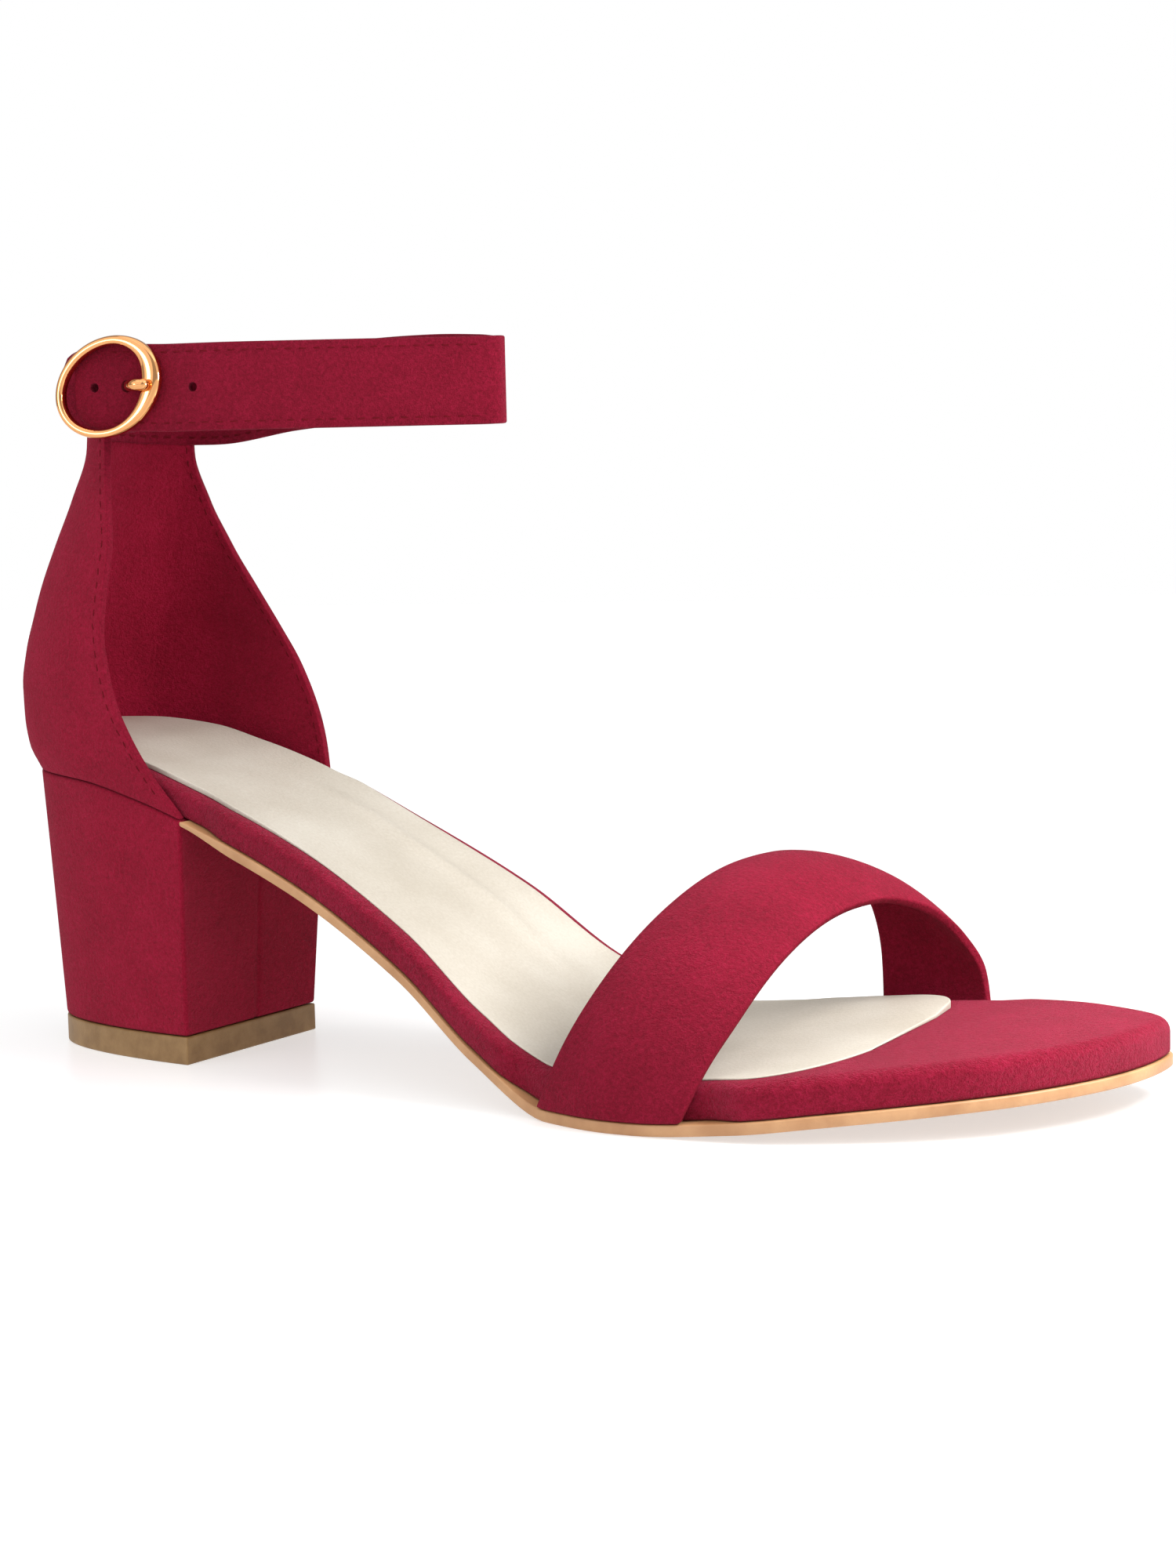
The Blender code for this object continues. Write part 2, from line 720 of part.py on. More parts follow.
def hole_cutter(name, along, radius, depth, middle):
    """Round punch through the strap, square to it, centred at a depth from the bar."""

    def build(bm):
        bmesh.ops.create_cone(
            bm, cap_ends=True, segments=10, radius1=radius, radius2=radius, depth=depth
        )

    obj = mesh_object(name, bpy.data.materials["suede"], build)
    x, y = buckle_place(along, middle)
    obj.location = Vector((x, y, STRAP_CENTRE + BUCKLE_LIFT)) * MM
    obj.rotation_euler = (math.pi / 2, 0, BUCKLE_TURN)
    as_cutter(obj)
    return obj


def slot_cutter():
    """Opening in the folded end for the prong's root."""
    height = 2 * PRONG_RADIUS + 4 * GAP

    def build(bm):
        bmesh.ops.create_cube(bm, size=1.0)
        bmesh.ops.scale(bm, vec=(SLOT_LENGTH, SLOT_DEPTH, height), verts=bm.verts)

    obj = mesh_object("prong_slot", bpy.data.materials["suede"], build)
    x, y = buckle_place(*SLOT_CENTRE)
    obj.location = Vector((x, y, STRAP_CENTRE + BUCKLE_LIFT)) * MM
    obj.rotation_euler = (0, 0, BUCKLE_TURN)
    as_cutter(obj)
    return obj


def make_heel_upper(material):
    """Counter and ankle strap, joined where the strap passes through the counter's top."""
    upper = make_counter(material)
    strap = make_strap(material)
    as_cutter(strap)
    combine(upper, strap, "UNION")
    combine(upper, slot_cutter(), "DIFFERENCE")
    over = layer_offset()
    prong_at = prong_hole_place()
    for number, offset in enumerate((-1, 0, 2)):
        radius = PRONG_HOLE_RADIUS if offset == 0 else HOLE_RADIUS
        place = prong_at + offset * HOLE_PITCH
        middle = over + (FAR_HOLE_OUT if offset == 2 else 0.0)
        depth = FAR_HOLE_DEPTH if offset == 2 else HOLE_DEPTH
        name = "punch_" + str(number)
        combine(upper, hole_cutter(name, place, radius, depth, middle), "DIFFERENCE")
    return upper


def prong_hole_place():
    return BUCKLE_WIDTH * PRONG_PLACE


def ring_radii():
    return (BUCKLE_WIDTH - RING_BAND) / 2, (STRAP_WIDTH - RING_BAND) / 2 + BUCKLE_CLEAR


def make_buckle_ring(material):
    """Oval ring, broader towards the front, standing clear over the strap."""
    back = layer_offset() + STRAP_THICKNESS / 2 + GAP
    wide, tall = ring_radii()
    middle = back + BUCKLE_DEPTH / 2
    corners = RING_CORNERS

    def build(bm):
        loops = []
        for i in range(RING_ROWS):
            angle = 2 * math.pi * i / RING_ROWS
            centre = Vector((wide * math.cos(angle), tall * math.sin(angle + RING_LEAN)))
            outward = Vector((tall * math.cos(angle + RING_LEAN), wide * math.sin(angle))).normalized()
            broad = RING_BAND / 2 + RING_BROAD / 2 * max(0.0, math.cos(angle)) ** 2
            centre -= outward * (broad - RING_BAND / 2)
            loop = []
            for k in range(corners):
                turn = 2 * math.pi * (k + 0.5) / corners
                across = broad * max(-1, min(1, RING_FLATNESS * math.cos(turn)))
                deep = BUCKLE_DEPTH / 2 * max(-1, min(1, RING_FLATNESS * math.sin(turn)))
                place = centre + outward * across
                loop.append(bm.verts.new((place.x, -(middle + deep), place.y)))
            loops.append(loop)
        for i in range(RING_ROWS):
            near = loops[i]
            far = loops[(i + 1) % RING_ROWS]
            for k in range(corners):
                after = (k + 1) % corners
                bm.faces.new([near[k], far[k], far[after], near[after]])

    return mesh_object("buckle_frame", material, build)


def tube(name, material, points, radii):
    """Round wire through points, as a mesh with closed ends and a radius at each point."""
    curve = bpy.data.curves.new(name, "CURVE")
    curve.dimensions = "3D"
    curve.bevel_depth = MM
    curve.bevel_resolution = 2
    curve.use_fill_caps = True
    spline = curve.splines.new("POLY")
    spline.points.add(len(points) - 1)
    for point, place, radius in zip(spline.points, points, radii):
        point.co = (place[0] * MM, place[1] * MM, place[2] * MM, 1.0)
        point.radius = radius
    wire = bpy.data.objects.new(name, curve)
    collection = bpy.data.collections["block_heel_sandal"]
    collection.objects.link(wire)
    bpy.context.view_layer.update()
    graph = bpy.context.evaluated_depsgraph_get()
    mesh = bpy.data.meshes.new_from_object(wire.evaluated_get(graph))
    bpy.data.objects.remove(wire)
    bm = bmesh.new()
    bm.from_mesh(mesh)
    bmesh.ops.remove_doubles(bm, verts=bm.verts, dist=1e-6)
    bmesh.ops.recalc_face_normals(bm, faces=bm.faces)
    bm.to_mesh(mesh)
    bm.free()
    mesh.materials.clear()
    mesh.materials.append(material)
    mesh.shade_smooth()
    mesh.set_sharp_from_angle(angle=math.radians(50))
    obj = bpy.data.objects.new(name, mesh)
    collection.objects.link(obj)
    return obj


def make_buckle(material):
    """Ring with its bar behind the strap, and the prong through the strap's hole."""
    ring = make_buckle_ring(material)
    back = layer_offset() + STRAP_THICKNESS / 2 + GAP
    reach = ring_radii()[1] + BAR_MARGIN
    joint = -(back + BAR_JOINT)
    wire = [(0, joint, reach), (0, 0, reach), (0, 0, -reach), (0, joint, -reach)]
    bar = tube("buckle_bar", material, wire, [BAR_RADIUS] * len(wire))
    as_cutter(bar)
    combine(ring, bar, "UNION")
    prong = make_prong(material, back + BUCKLE_DEPTH)
    for obj in (ring, bar, prong):
        obj.location = Vector((BUCKLE_X, BUCKLE_Y, STRAP_CENTRE + BUCKLE_LIFT)) * MM
        obj.rotation_euler = (0, 0, BUCKLE_TURN)
    return ring, prong


def make_prong(material, front):
    """Prong hooked round the bar, through the strap and resting on the ring's front."""
    radius = BAR_RADIUS + GAP + PRONG_RADIUS
    hook = []
    for i in range(9):
        angle = math.radians(130 + 240 * i / 8)
        hook.append((radius * math.cos(angle), radius * math.sin(angle)))
    below = (prong_hole_place(), layer_offset() - STRAP_THICKNESS / 2 - GAP)
    above = (prong_hole_place() + GAP, layer_offset() + STRAP_THICKNESS / 2 + GAP)
    end_along = BUCKLE_WIDTH / 2 - RING_BAND * PRONG_END
    rest = (end_along - RING_BROAD, front + GAP + PRONG_TIP_RADIUS)
    end = (end_along, front + GAP + PRONG_TIP_RADIUS)
    plan = hook + [below, above, rest, end]
    points = [(along, -outward, 0.0) for along, outward in plan]
    radii = [PRONG_RADIUS] * (len(points) - 2) + [PRONG_TIP_RADIUS] * 2
    return tube("buckle_prong", material, points, radii)


def new_material(name, colour, roughness, metallic):
    material = bpy.data.materials.new(name)
    material.use_nodes = True
    shader = material.node_tree.nodes["Principled BSDF"]
    shader.inputs["Base Color"].default_value = (*colour, 1.0)
    shader.inputs["Roughness"].default_value = roughness
    shader.inputs["Metallic"].default_value = metallic
    return material


def clear_scene():
    for obj in list(bpy.data.objects):
        bpy.data.objects.remove(obj)


def make_collections():
    for name in ("block_heel_sandal", "cutters"):
        collection = bpy.data.collections.new(name)
        bpy.context.scene.collection.children.link(collection)


def main():
    clear_scene()
    make_collections()
    suede = new_material("suede", (0.36, 0.012, 0.035), 0.9, 0.0)
    sock = new_material("sock", (0.76, 0.68, 0.56), 0.6, 0.0)
    tan = new_material("outsole_tan", (0.55, 0.30, 0.13), 0.55, 0.0)
    rubber = new_material("rubber", (0.20, 0.12, 0.06), 0.7, 0.0)
    gold = new_material("gold", (0.85, 0.62, 0.35), 0.15, 1.0)
    make_outsole(tan)
    make_platform(suede)
    make_insole(sock)
    make_heel_block(suede)
    make_top_piece(rubber)
    make_heel_upper(suede)
    make_toe_band(suede)
    make_buckle(gold)
    origin = bpy.data.objects.new("shoe_origin", None)
    bpy.data.collections["block_heel_sandal"].objects.link(origin)
    origin.location = (-HEEL_REST_X * MM, 0, 0)
    for obj in list(bpy.data.objects):
        if obj is not origin:
            obj.parent = origin


main()
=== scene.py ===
"""Looks of the block heel sandal: suede, cream sock, tan sole, brown lift and gold buckle.

Tables and sizes are the part's own, in millimetres. A mesh is scaled to metres when it is made
and moved so that the origin lies under the heel.
"""

import math

import bmesh
import bpy
from mathutils import Matrix, Vector

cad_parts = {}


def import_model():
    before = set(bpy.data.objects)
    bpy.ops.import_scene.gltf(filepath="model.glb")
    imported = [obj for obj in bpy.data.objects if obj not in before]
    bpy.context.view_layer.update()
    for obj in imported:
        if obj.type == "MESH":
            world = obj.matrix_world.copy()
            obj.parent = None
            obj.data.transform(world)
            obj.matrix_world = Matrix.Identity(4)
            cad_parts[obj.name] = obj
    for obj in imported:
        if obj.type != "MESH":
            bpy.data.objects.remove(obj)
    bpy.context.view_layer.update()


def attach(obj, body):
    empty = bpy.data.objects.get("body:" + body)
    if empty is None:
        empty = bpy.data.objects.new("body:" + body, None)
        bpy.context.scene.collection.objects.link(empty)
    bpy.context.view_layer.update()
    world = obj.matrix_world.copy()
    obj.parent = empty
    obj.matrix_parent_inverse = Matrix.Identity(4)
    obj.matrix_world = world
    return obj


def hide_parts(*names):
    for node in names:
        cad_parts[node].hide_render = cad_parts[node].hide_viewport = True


MM = 0.001

# Camera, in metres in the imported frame
CAMERA_PLACE = (0.3003, -0.4023, 0.0971)
CAMERA_AHEAD = (-0.4497, 0.8882, -0.0942)
CAMERA_RIGHT = (0.8929, 0.4497, -0.0229)
CAMERA_LENS = 55.65

# Light of the surroundings on the shoe
AMBIENT = 0.50

# Main sizes
LENGTH = 228.5
BALL_WIDTH = 84.0
SEAT_LENGTH = 49.5
SEAT_HEIGHT = 54.7
TOE_SPRING = 5.6
GAP = 0.3

# Sole pieces
OUTSOLE_THICKNESS = 2.1
OUTSOLE_MARGIN = 0.5
OUTSOLE_SKIVE = 1.1
SKIVE_LENGTH = 12.0
RIM_THICKNESS = 6.6
HEEL_PAD = 3.0
CUP_DEPTH = 1.5
ARCH_LIFT = 2.0
ARCH_FROM = 0.1
HOLLOW_FULLNESS = 6
SOCK_THICKNESS = 0.8
SOCK_THINNING = 0.75
SOCK_THIN_AT = (48.0, 91.0)
SOCK_TOE_RISE = 1.15
SOCK_TOE_AT = (142.0, 165.0)
SOCK_RISE_ACROSS = (2.0, 30.0)
CREASE_WIDTH = 2.2
SOCK_INSET = 3.1
SOCK_TUCK = 0.6
SOCK_FRONT = 186.5
SOCK_ROUND_FROM = 160.0
SOCK_ROUND_POWER = 0.28
SOCK_ROUND_GROWTH = 4
SOCK_FRONT_CENTRE = 14.0

# Roundings of the sole pieces: radius below, radius above and steps
OUTSOLE_EDGES = 0.4, 0.3, 3
RIM_EDGES = 0.7, 2.6, 6
SOCK_EDGES = 0.1, 0.3, 3

# Heel
TOP_PIECE_HEIGHT = 5.5
HEEL_REAR = 5.2
HEEL_BASE_LENGTH = 43.8
HEEL_BASE_HALF_WIDTH = 20.1
HEEL_BASE_CENTRE = -2.0
HEEL_BASE_TURN = math.radians(-5.0)
HEEL_SQUARENESS = 3.0
HEEL_REST_X = 27.0
BREAST_SEAM = 0.53
SEAM_DEPTH = 0.4
SEAM_HALF = 0.016
SEAM_CLEAR = 0.03
HEEL_ROUND = 0.7
TOP_PIECE_ROUND = 0.35

# Upper
COUNTER_WALL = 1.6
COUNTER_TOP = 138.6
WALL_ROUND = 0.45
BAND_WALL = 1.7
BAND_TUCK = 1.0
BAND_LEAN = 1.1
TUCK_LEAD = 3.5
TUCK_FADE = 7.0
BAND_REAR_RISE = 38.8
BAND_FRONT_RISE = 29.0
BAND_RISE_MORE = 0.4
BAND_CROWN = 2.7
BAND_BULGE = 2.0
BAND_REAR_RIDGE = 9.5
BAND_FRONT_RIDGE = 7.1
BAND_SQUARENESS = {"lateral": 1.86, "medial": 2.42}
BAND_MIDDLE = 0.71

# Ankle strap and buckle
STRAP_WIDTH = 16.6
STRAP_THICKNESS = 1.5
STRAP_CENTRE = 130.5
STRAP_TIP_ROUND = 6.6
TIP_WIDTH = 0.55
STRAP_EDGE_ROUND = 0.35
STRAP_EDGE_INSET = 0.08
STRAP_EDGE_HEIGHT = 0.7
STRAP_MIDDLE = 0.4
STRAP_SHARP = 60
LOOP_REACH = 104.3
LOOP_WIDTH = 40.0
BUCKLE_X = 34.3
BUCKLE_Y = -18.9
BUCKLE_TURN = math.radians(8.0)
BUCKLE_WIDTH = 22.6
BUCKLE_DEPTH = 2.4
BUCKLE_LIFT = 0.6
FOLD_LIFT = 0.5
BUCKLE_CLEAR = 1.4
RING_BAND = 1.7
RING_WIDE = (BUCKLE_WIDTH - RING_BAND) / 2
RING_TALL = (STRAP_WIDTH - RING_BAND) / 2 + BUCKLE_CLEAR
RING_BROAD = 2.2
RING_LEAN = math.radians(11.0)
RING_SQUARENESS = 0.7
BAR_RADIUS = 0.55
PRONG_RADIUS = 0.7
PRONG_TIP_RADIUS = 1.15
PRONG_PLACE = BUCKLE_WIDTH * 0.14
PRONG_END = 1.3
PRONG_TIP_SHORT = 0.4
HOOK_FROM = 130
HOOK_TURN = 240
HOLE_RADIUS = 0.9
PRONG_HOLE_RADIUS = 1.2
HOLE_PITCH = 7.0
HOLE_PLACES = (-1, 0, 2)
HOLE_LIFT = 0.7
FAR_HOLE_OUT = 1.9
PUNCH_REACH = 1.4
FAR_PUNCH_REACH = 2.6

# Stitches
STITCH_LENGTH = 1.9
STITCH_PITCH = 2.7
STITCH_RADIUS = 0.2
STITCH_INSET = 1.6
STITCH_TIP = 0.12
STITCH_DROP = 0.9
STITCH_STOP = 8
STITCH_DEPTH = 0.08
GROOVE_DEPTH = 0.14
GROOVE_HALF = 0.6
FOLD_REACH = 3.0
FOLD_SINK = 0.6
ROW_FROM = 0.03
ROW_SPAN = 0.80
ROW_TURN = 0.004
ROW_DEPTH = 0.12
ROW_LIFT = 0.04

# Small lifts and drops that keep a piece clear of its neighbour
CLEAR = 0.1
SOCK_CLEAR = 0.05
HEEL_FOOT_CLEAR = 0.15
COUNTER_CLEAR = 0.02
BAND_CLEAR = 0.2

# Fineness of the meshes
SOLE_STATIONS = 200
FOOTBED_STATIONS = 240
STATION_CLEAR = 0.5
MITRE_LIMIT = 0.5
NO_WIDTH = 1e-4
OUTSOLE_COLUMNS = 4
FOOTBED_COLUMNS = 28
SOCK_COLUMNS = 72
ROUND_ROWS = 40
HEEL_LEVELS = 12
HEEL_BREAST_STEPS = 24
TOP_PIECE_BREAST_STEPS = 12
COUNTER_LEVELS = 60
COUNTER_TURNS = 96
NORMAL_STEP = 0.01
BAND_TURNS = 120
BAND_ROWS = 16
FOLD_STEPS = 8
STRAP_STEP = 1.0
ROUND_SIDES = 20
RING_STEPS = 128
RING_CORNERS = 24
WIRE_STEP = 0.25
SWELL_STEPS = 12
DOME_STEPS = 5
DOME_SPREAD = 5.2
HOOK_STEPS = 8
STITCH_SIDES = 6
ROW_POINTS = 89

# Suede tones from dark through middle to light
SUEDE_TONES = (0.20, 0.0042, 0.018), (0.275, 0.0060, 0.026), (0.36, 0.0090, 0.040)
# Darker copy of the same suede for the strap, the toe band and the raw edges: painted shade for the
# lower light they get
SHADED_SUEDE_TONES = (0.145, 0.0033, 0.0140), (0.205, 0.0048, 0.0205), (0.275, 0.0074, 0.032)
FOOTBED_TONES = (0.19, 0.0041, 0.017), (0.262, 0.0061, 0.027), (0.35, 0.0105, 0.043)
THREAD_TONES = (0.09, 0.002, 0.006), (0.12, 0.003, 0.009), (0.15, 0.004, 0.012)

# Other colours as stops of a ramp: (position, colour)
SOCK_STOPS = (0.35, (0.44, 0.395, 0.325)), (0.5, (0.49, 0.445, 0.375)), (0.65, (0.54, 0.50, 0.43))
EDGE_STOPS = (0.35, (0.39, 0.19, 0.080)), (0.65, (0.50, 0.27, 0.125))
TREAD_STOPS = (0.35, (0.36, 0.20, 0.10)), (0.65, (0.46, 0.27, 0.14))
RUBBER_STOPS = (0.35, (0.20, 0.105, 0.032)), (0.65, (0.28, 0.16, 0.058))
GOLD = (0.76, 0.37, 0.15, 1.0)
SHEEN_TINT = (1.0, 0.30, 0.42, 1.0)
WHITE = (1.0, 1.0, 1.0, 1.0)

# Suns: name, direction, strength and how wide they are in degrees
SUNS = (
    ("top", (-0.30, 0.12, -1.0), 1.2, 80),
    ("toe", (-0.95, 0.14, -0.50), 0.55, 60),
    ("front", (0.30, 0.80, -0.45), 0.65, 60),
)

# Square lights near the shoe: name, place, target, power and size
PANELS = (
    ("toe_panel", (0.26, 0.0, 0.14), (0.17, 0.0, 0.01), 0.54, 0.10),
    ("side_panel", (-0.16, -0.49, 0.16), (0.0, 0.0, 0.08), 0.24, 0.11),
)

# Widths are shares of BALL_WIDTH, stations are shares of LENGTH.
OUTLINE = (
    ("station", "lateral", "medial"),
    (0.000, 0.000, 0.000),
    (0.018, -0.134, 0.160),
    (0.061, -0.240, 0.262),
    (0.130, -0.298, 0.297),
    (0.226, -0.319, 0.287),
    (0.326, -0.326, 0.262),
    (0.435, -0.363, 0.288),
    (0.544, -0.440, 0.362),
    (0.652, -0.522, 0.450),
    (0.748, -0.502, 0.466),
    (0.835, -0.418, 0.440),
    (0.913, -0.288, 0.379),
    (0.965, -0.120, 0.300),
    (1.000, 0.185, 0.185),
)

# Underside of the sole: seat is a share of SEAT_HEIGHT, spring of TOE_SPRING, cup of
# CUP_DEPTH, pad of HEEL_PAD and arch of ARCH_LIFT.
PROFILE = (
    ("station", "seat", "spring", "cup", "pad", "arch"),
    (0.000, 1.000, 0.000, 1.00, 1.00, 0.00),
    (0.060, 0.986, 0.000, 1.00, 0.78, 0.00),
    (0.109, 0.969, 0.000, 1.00, 0.44, 0.10),
    (0.165, 0.915, 0.000, 0.96, 0.10, 0.35),
    (0.226, 0.830, 0.000, 0.90, 0.00, 0.60),
    (0.326, 0.646, 0.000, 0.60, 0.00, 0.70),
    (0.435, 0.383, 0.000, 0.45, 0.00, 1.00),
    (0.513, 0.146, 0.000, 0.40, 0.00, 0.50),
    (0.590, 0.000, 0.000, 0.35, 0.00, 0.00),
    (0.665, 0.000, 0.000, 0.30, 0.00, 0.00),
    (0.740, 0.000, 0.200, 0.15, 0.00, 0.00),
    (0.804, 0.000, 0.480, 0.00, 0.00, 0.00),
    (0.922, 0.000, 0.870, 0.00, 0.00, 0.00),
    (1.000, 0.000, 1.000, 0.00, 0.00, 0.00),
)

# The counter from its lower seam (level 0) to its top (level 1). Rear and front places are
# shares of SEAT_LENGTH, depth and widths scale the seat's own outline.
COUNTER = (
    ("level", "rear", "depth", "lateral", "medial", "front_lateral", "front_medial"),
    (0.00, 0.000, 1.000, 1.000, 1.000, 1.000, 1.050),
    (0.06, -0.048, 0.970, 1.025, 1.020, 0.880, 1.035),
    (0.13, -0.060, 0.955, 1.045, 1.050, 0.785, 1.010),
    (0.20, -0.060, 0.940, 1.050, 1.065, 0.715, 0.968),
    (0.29, -0.034, 0.910, 1.035, 1.060, 0.665, 0.888),
    (0.37, 0.010, 0.860, 1.005, 1.040, 0.640, 0.790),
    (0.45, 0.058, 0.815, 0.970, 1.005, 0.645, 0.694),
    (0.55, 0.133, 0.750, 0.912, 0.950, 0.655, 0.588),
    (0.66, 0.220, 0.690, 0.845, 0.885, 0.622, 0.515),
    (0.78, 0.296, 0.635, 0.780, 0.805, 0.582, 0.488),
    (1.00, 0.318, 0.620, 0.770, 0.795, 0.586, 0.490),
)

# The toe band over the foot, from its outer foot (turn 0) to its inner foot (turn 1).
# Rear and front edges are shares of LENGTH.
BAND = (
    ("turn", "rear", "front"),
    (0.00, 0.580, 0.706),
    (0.10, 0.601, 0.721),
    (0.20, 0.623, 0.737),
    (0.32, 0.646, 0.749),
    (0.43, 0.665, 0.759),
    (0.50, 0.680, 0.767),
    (0.60, 0.695, 0.778),
    (0.70, 0.716, 0.796),
    (0.80, 0.729, 0.813),
    (0.90, 0.732, 0.827),
    (1.00, 0.732, 0.830),
)

# The ankle strap forward of the counter, down the inner side, round the front fold and back
# along the outer side. Along is a share of LOOP_REACH, across one of LOOP_WIDTH, lift one of
# STRAP_WIDTH.
LOOP = (
    ("along", "across", "lift"),
    (0.330, 0.430, -0.030),
    (0.480, 0.440, 0.090),
    (0.660, 0.400, 0.130),
    (0.820, 0.320, 0.110),
    (0.940, 0.235, 0.050),
    (0.978, 0.205, 0.015),
    (0.993, 0.182, 0.010),
    (0.991, 0.150, 0.005),
    (0.970, 0.110, 0.000),
    (0.850, -0.055, 0.000),
    (0.700, -0.255, 0.000),
    (0.560, -0.435, 0.000),
)

# The strap's tip end as (along the buckle, lift) in mm, and its folded end round the bar in
# shares of the fold's radius. The strap runs in the counter's wall at TUNNEL_LEVEL.
STRAP_END = ((16.5, 0.0), (11.0, 0.1), (5.0, 0.4), (0.0, 0.6), (-4.5, 0.9), (-8.0, 1.1))
FOLD = ((-7.9, -0.02), (-4.8, -0.02), (-3.06, 0.03), (-2.0, 0.32), (-0.94, 0.79))
TUNNEL_LEVEL = 0.9
TUNNEL_TURNS = (-0.84, 0.90)
TUNNEL_ROWS = 14

# Ridge on the sock under the arch: its place across in shares of BALL_WIDTH, its height in mm.
CREASE = (
    ("station", "across", "height"),
    (0.240, 0.110, 0.00),
    (0.310, 0.104, 0.60),
    (0.355, 0.086, 0.95),
    (0.430, 0.084, 0.95),
    (0.470, 0.080, 0.50),
    (0.530, 0.078, 0.00),
)

CURVES = {}


def span_weights(t):
    """Weights of start, start's slope, end and end's slope at a share of a smooth span."""
    return (1 + 2 * t) * (1 - t) ** 2, t * (1 - t) ** 2, t * t * (3 - 2 * t), t * t * (t - 1)


def smooth_curve(xs, ys):
    """Function of the smooth curve through the points, which never overshoots them."""
    steps = [(ys[i + 1] - ys[i]) / (xs[i + 1] - xs[i]) for i in range(len(xs) - 1)]
    inner = [0.0 if a * b <= 0 else 2 * a * b / (a + b) for a, b in zip(steps, steps[1:])]
    tangents = [steps[0]] + inner + [steps[-1]]

    def value(at):
        at = min(max(at, xs[0]), xs[-1])
        i = max(k for k in range(len(xs) - 1) if xs[k] <= at)
        width = xs[i + 1] - xs[i]
        a, b, c, d = span_weights((at - xs[i]) / width)
        start = a * ys[i] + b * width * tangents[i]
        return start + (c * ys[i + 1] + d * width * tangents[i + 1])

    return value


def read(table, name, at):
    """One named column of a table at a value of its first column."""
    key = (table[0], name)
    if key not in CURVES:
        column = table[0].index(name)
        CURVES[key] = smooth_curve([row[0] for row in table[1:]], [row[column] for row in table[1:]])
    return CURVES[key](at)


def round_angle(station):
    """Station as an angle, so that the outline is round at both ends."""
    return math.acos(1 - 2 * min(max(station, 0.0), 1.0))


def outline_y(side, x):
    """Edge of the sole's plan on one side at a distance from the rear."""
    key = ("plan", side)
    if key not in CURVES:
        column = OUTLINE[0].index(side)
        angles = [round_angle(row[0]) for row in OUTLINE[1:]]
        CURVES[key] = smooth_curve(angles, [row[column] for row in OUTLINE[1:]])
    return BALL_WIDTH * CURVES[key](round_angle(x / LENGTH))


def underside(x):
    station = x / LENGTH
    seat = SEAT_HEIGHT * read(PROFILE, "seat", station)
    return seat + TOE_SPRING * read(PROFILE, "spring", station)


def seam(x):
    """Top of the outsole, where heel, counter and toe band meet the footbed."""
    return underside(x) + OUTSOLE_THICKNESS


def smooth_step(value, low, high):
    t = min(max((value - low) / (high - low), 0.0), 1.0)
    return t * t * (3 - 2 * t)


def footbed(x, y):
    """Top of the footbed, hollowed a little and raised at the back and under the arch."""
    low = outline_y("lateral", x)
    high = outline_y("medial", x)
    across = 0.0
    if high - low > NO_WIDTH:
        across = min(1.0, max(-1.0, 2 * (y - low) / (high - low) - 1))
    station = x / LENGTH
    hollow = CUP_DEPTH * read(PROFILE, "cup", station) * (1 - abs(across) ** HOLLOW_FULLNESS)
    pad = HEEL_PAD * read(PROFILE, "pad", station)
    arch = ARCH_LIFT * read(PROFILE, "arch", station) * smooth_step(across, ARCH_FROM, 1.0)
    return seam(x) + RIM_THICKNESS + pad + arch - hollow


def tuck(side, x):
    """How far the footbed's side is drawn in under the counter and the toe band."""
    counter_end = SEAT_LENGTH * read(COUNTER, "front_" + side, 0.0) + TUCK_LEAD
    counter = (COUNTER_WALL + GAP) * (1 - smooth_step(x, counter_end, counter_end + TUCK_FADE))
    row = 0.0 if side == "lateral" else 1.0
    rear = LENGTH * read(BAND, "rear", row) - TUCK_LEAD
    front = LENGTH * read(BAND, "front", row) + TUCK_LEAD
    inside = smooth_step(x, rear - TUCK_FADE, rear) * (1 - smooth_step(x, front, front + TUCK_FADE))
    return counter + (BAND_TUCK + BAND_LEAN) * inside


def stations(count):
    """Distances from the rear, closer together at the round ends."""
    return [LENGTH * (1 - math.cos(math.pi * i / count)) / 2 for i in range(count + 1)]


def even(count):
    """Equal shares from 0 to 1."""
    return [i / count for i in range(count + 1)]


def quarter(steps):
    """Angles from nothing to a right angle."""
    return [math.pi / 2 * i / steps for i in range(steps + 1)]


def plan_rows(xs):
    """Pairs of edge points of the sole's plan."""
    return [((x, outline_y("lateral", x)), (x, outline_y("medial", x))) for x in xs]


def drawn_in(rows, inset):
    """Pairs of plan points moved inwards, square to the outline. Inset reads (side, x)."""
    loop = [row[0] for row in rows] + [row[1] for row in reversed(rows)]
    sides = ["lateral"] * len(rows) + ["medial"] * len(rows)
    moved = []
    for i, (x, y) in enumerate(loop):
        before = i - 1
        while loop[before] == (x, y):
            before -= 1
        after = (i + 1) % len(loop)
        while loop[after] == (x, y):
            after = (after + 1) % len(loop)
        back = Vector((x - loop[before][0], y - loop[before][1])).normalized()
        ahead = Vector((loop[after][0] - x, loop[after][1] - y)).normalized()
        along = (back + ahead).normalized()
        reach = inset(sides[i], x) / max(along.dot(ahead), MITRE_LIMIT)
        moved.append((x - along.y * reach, y + along.x * reach))
    count = len(rows)
    return [(moved[i], moved[2 * count - 1 - i]) for i in range(count)]


def raised(rows, height):
    """Plan pairs given a height, which reads (x, y)."""
    return [tuple((x, y, height(x, y)) for x, y in row) for row in rows]


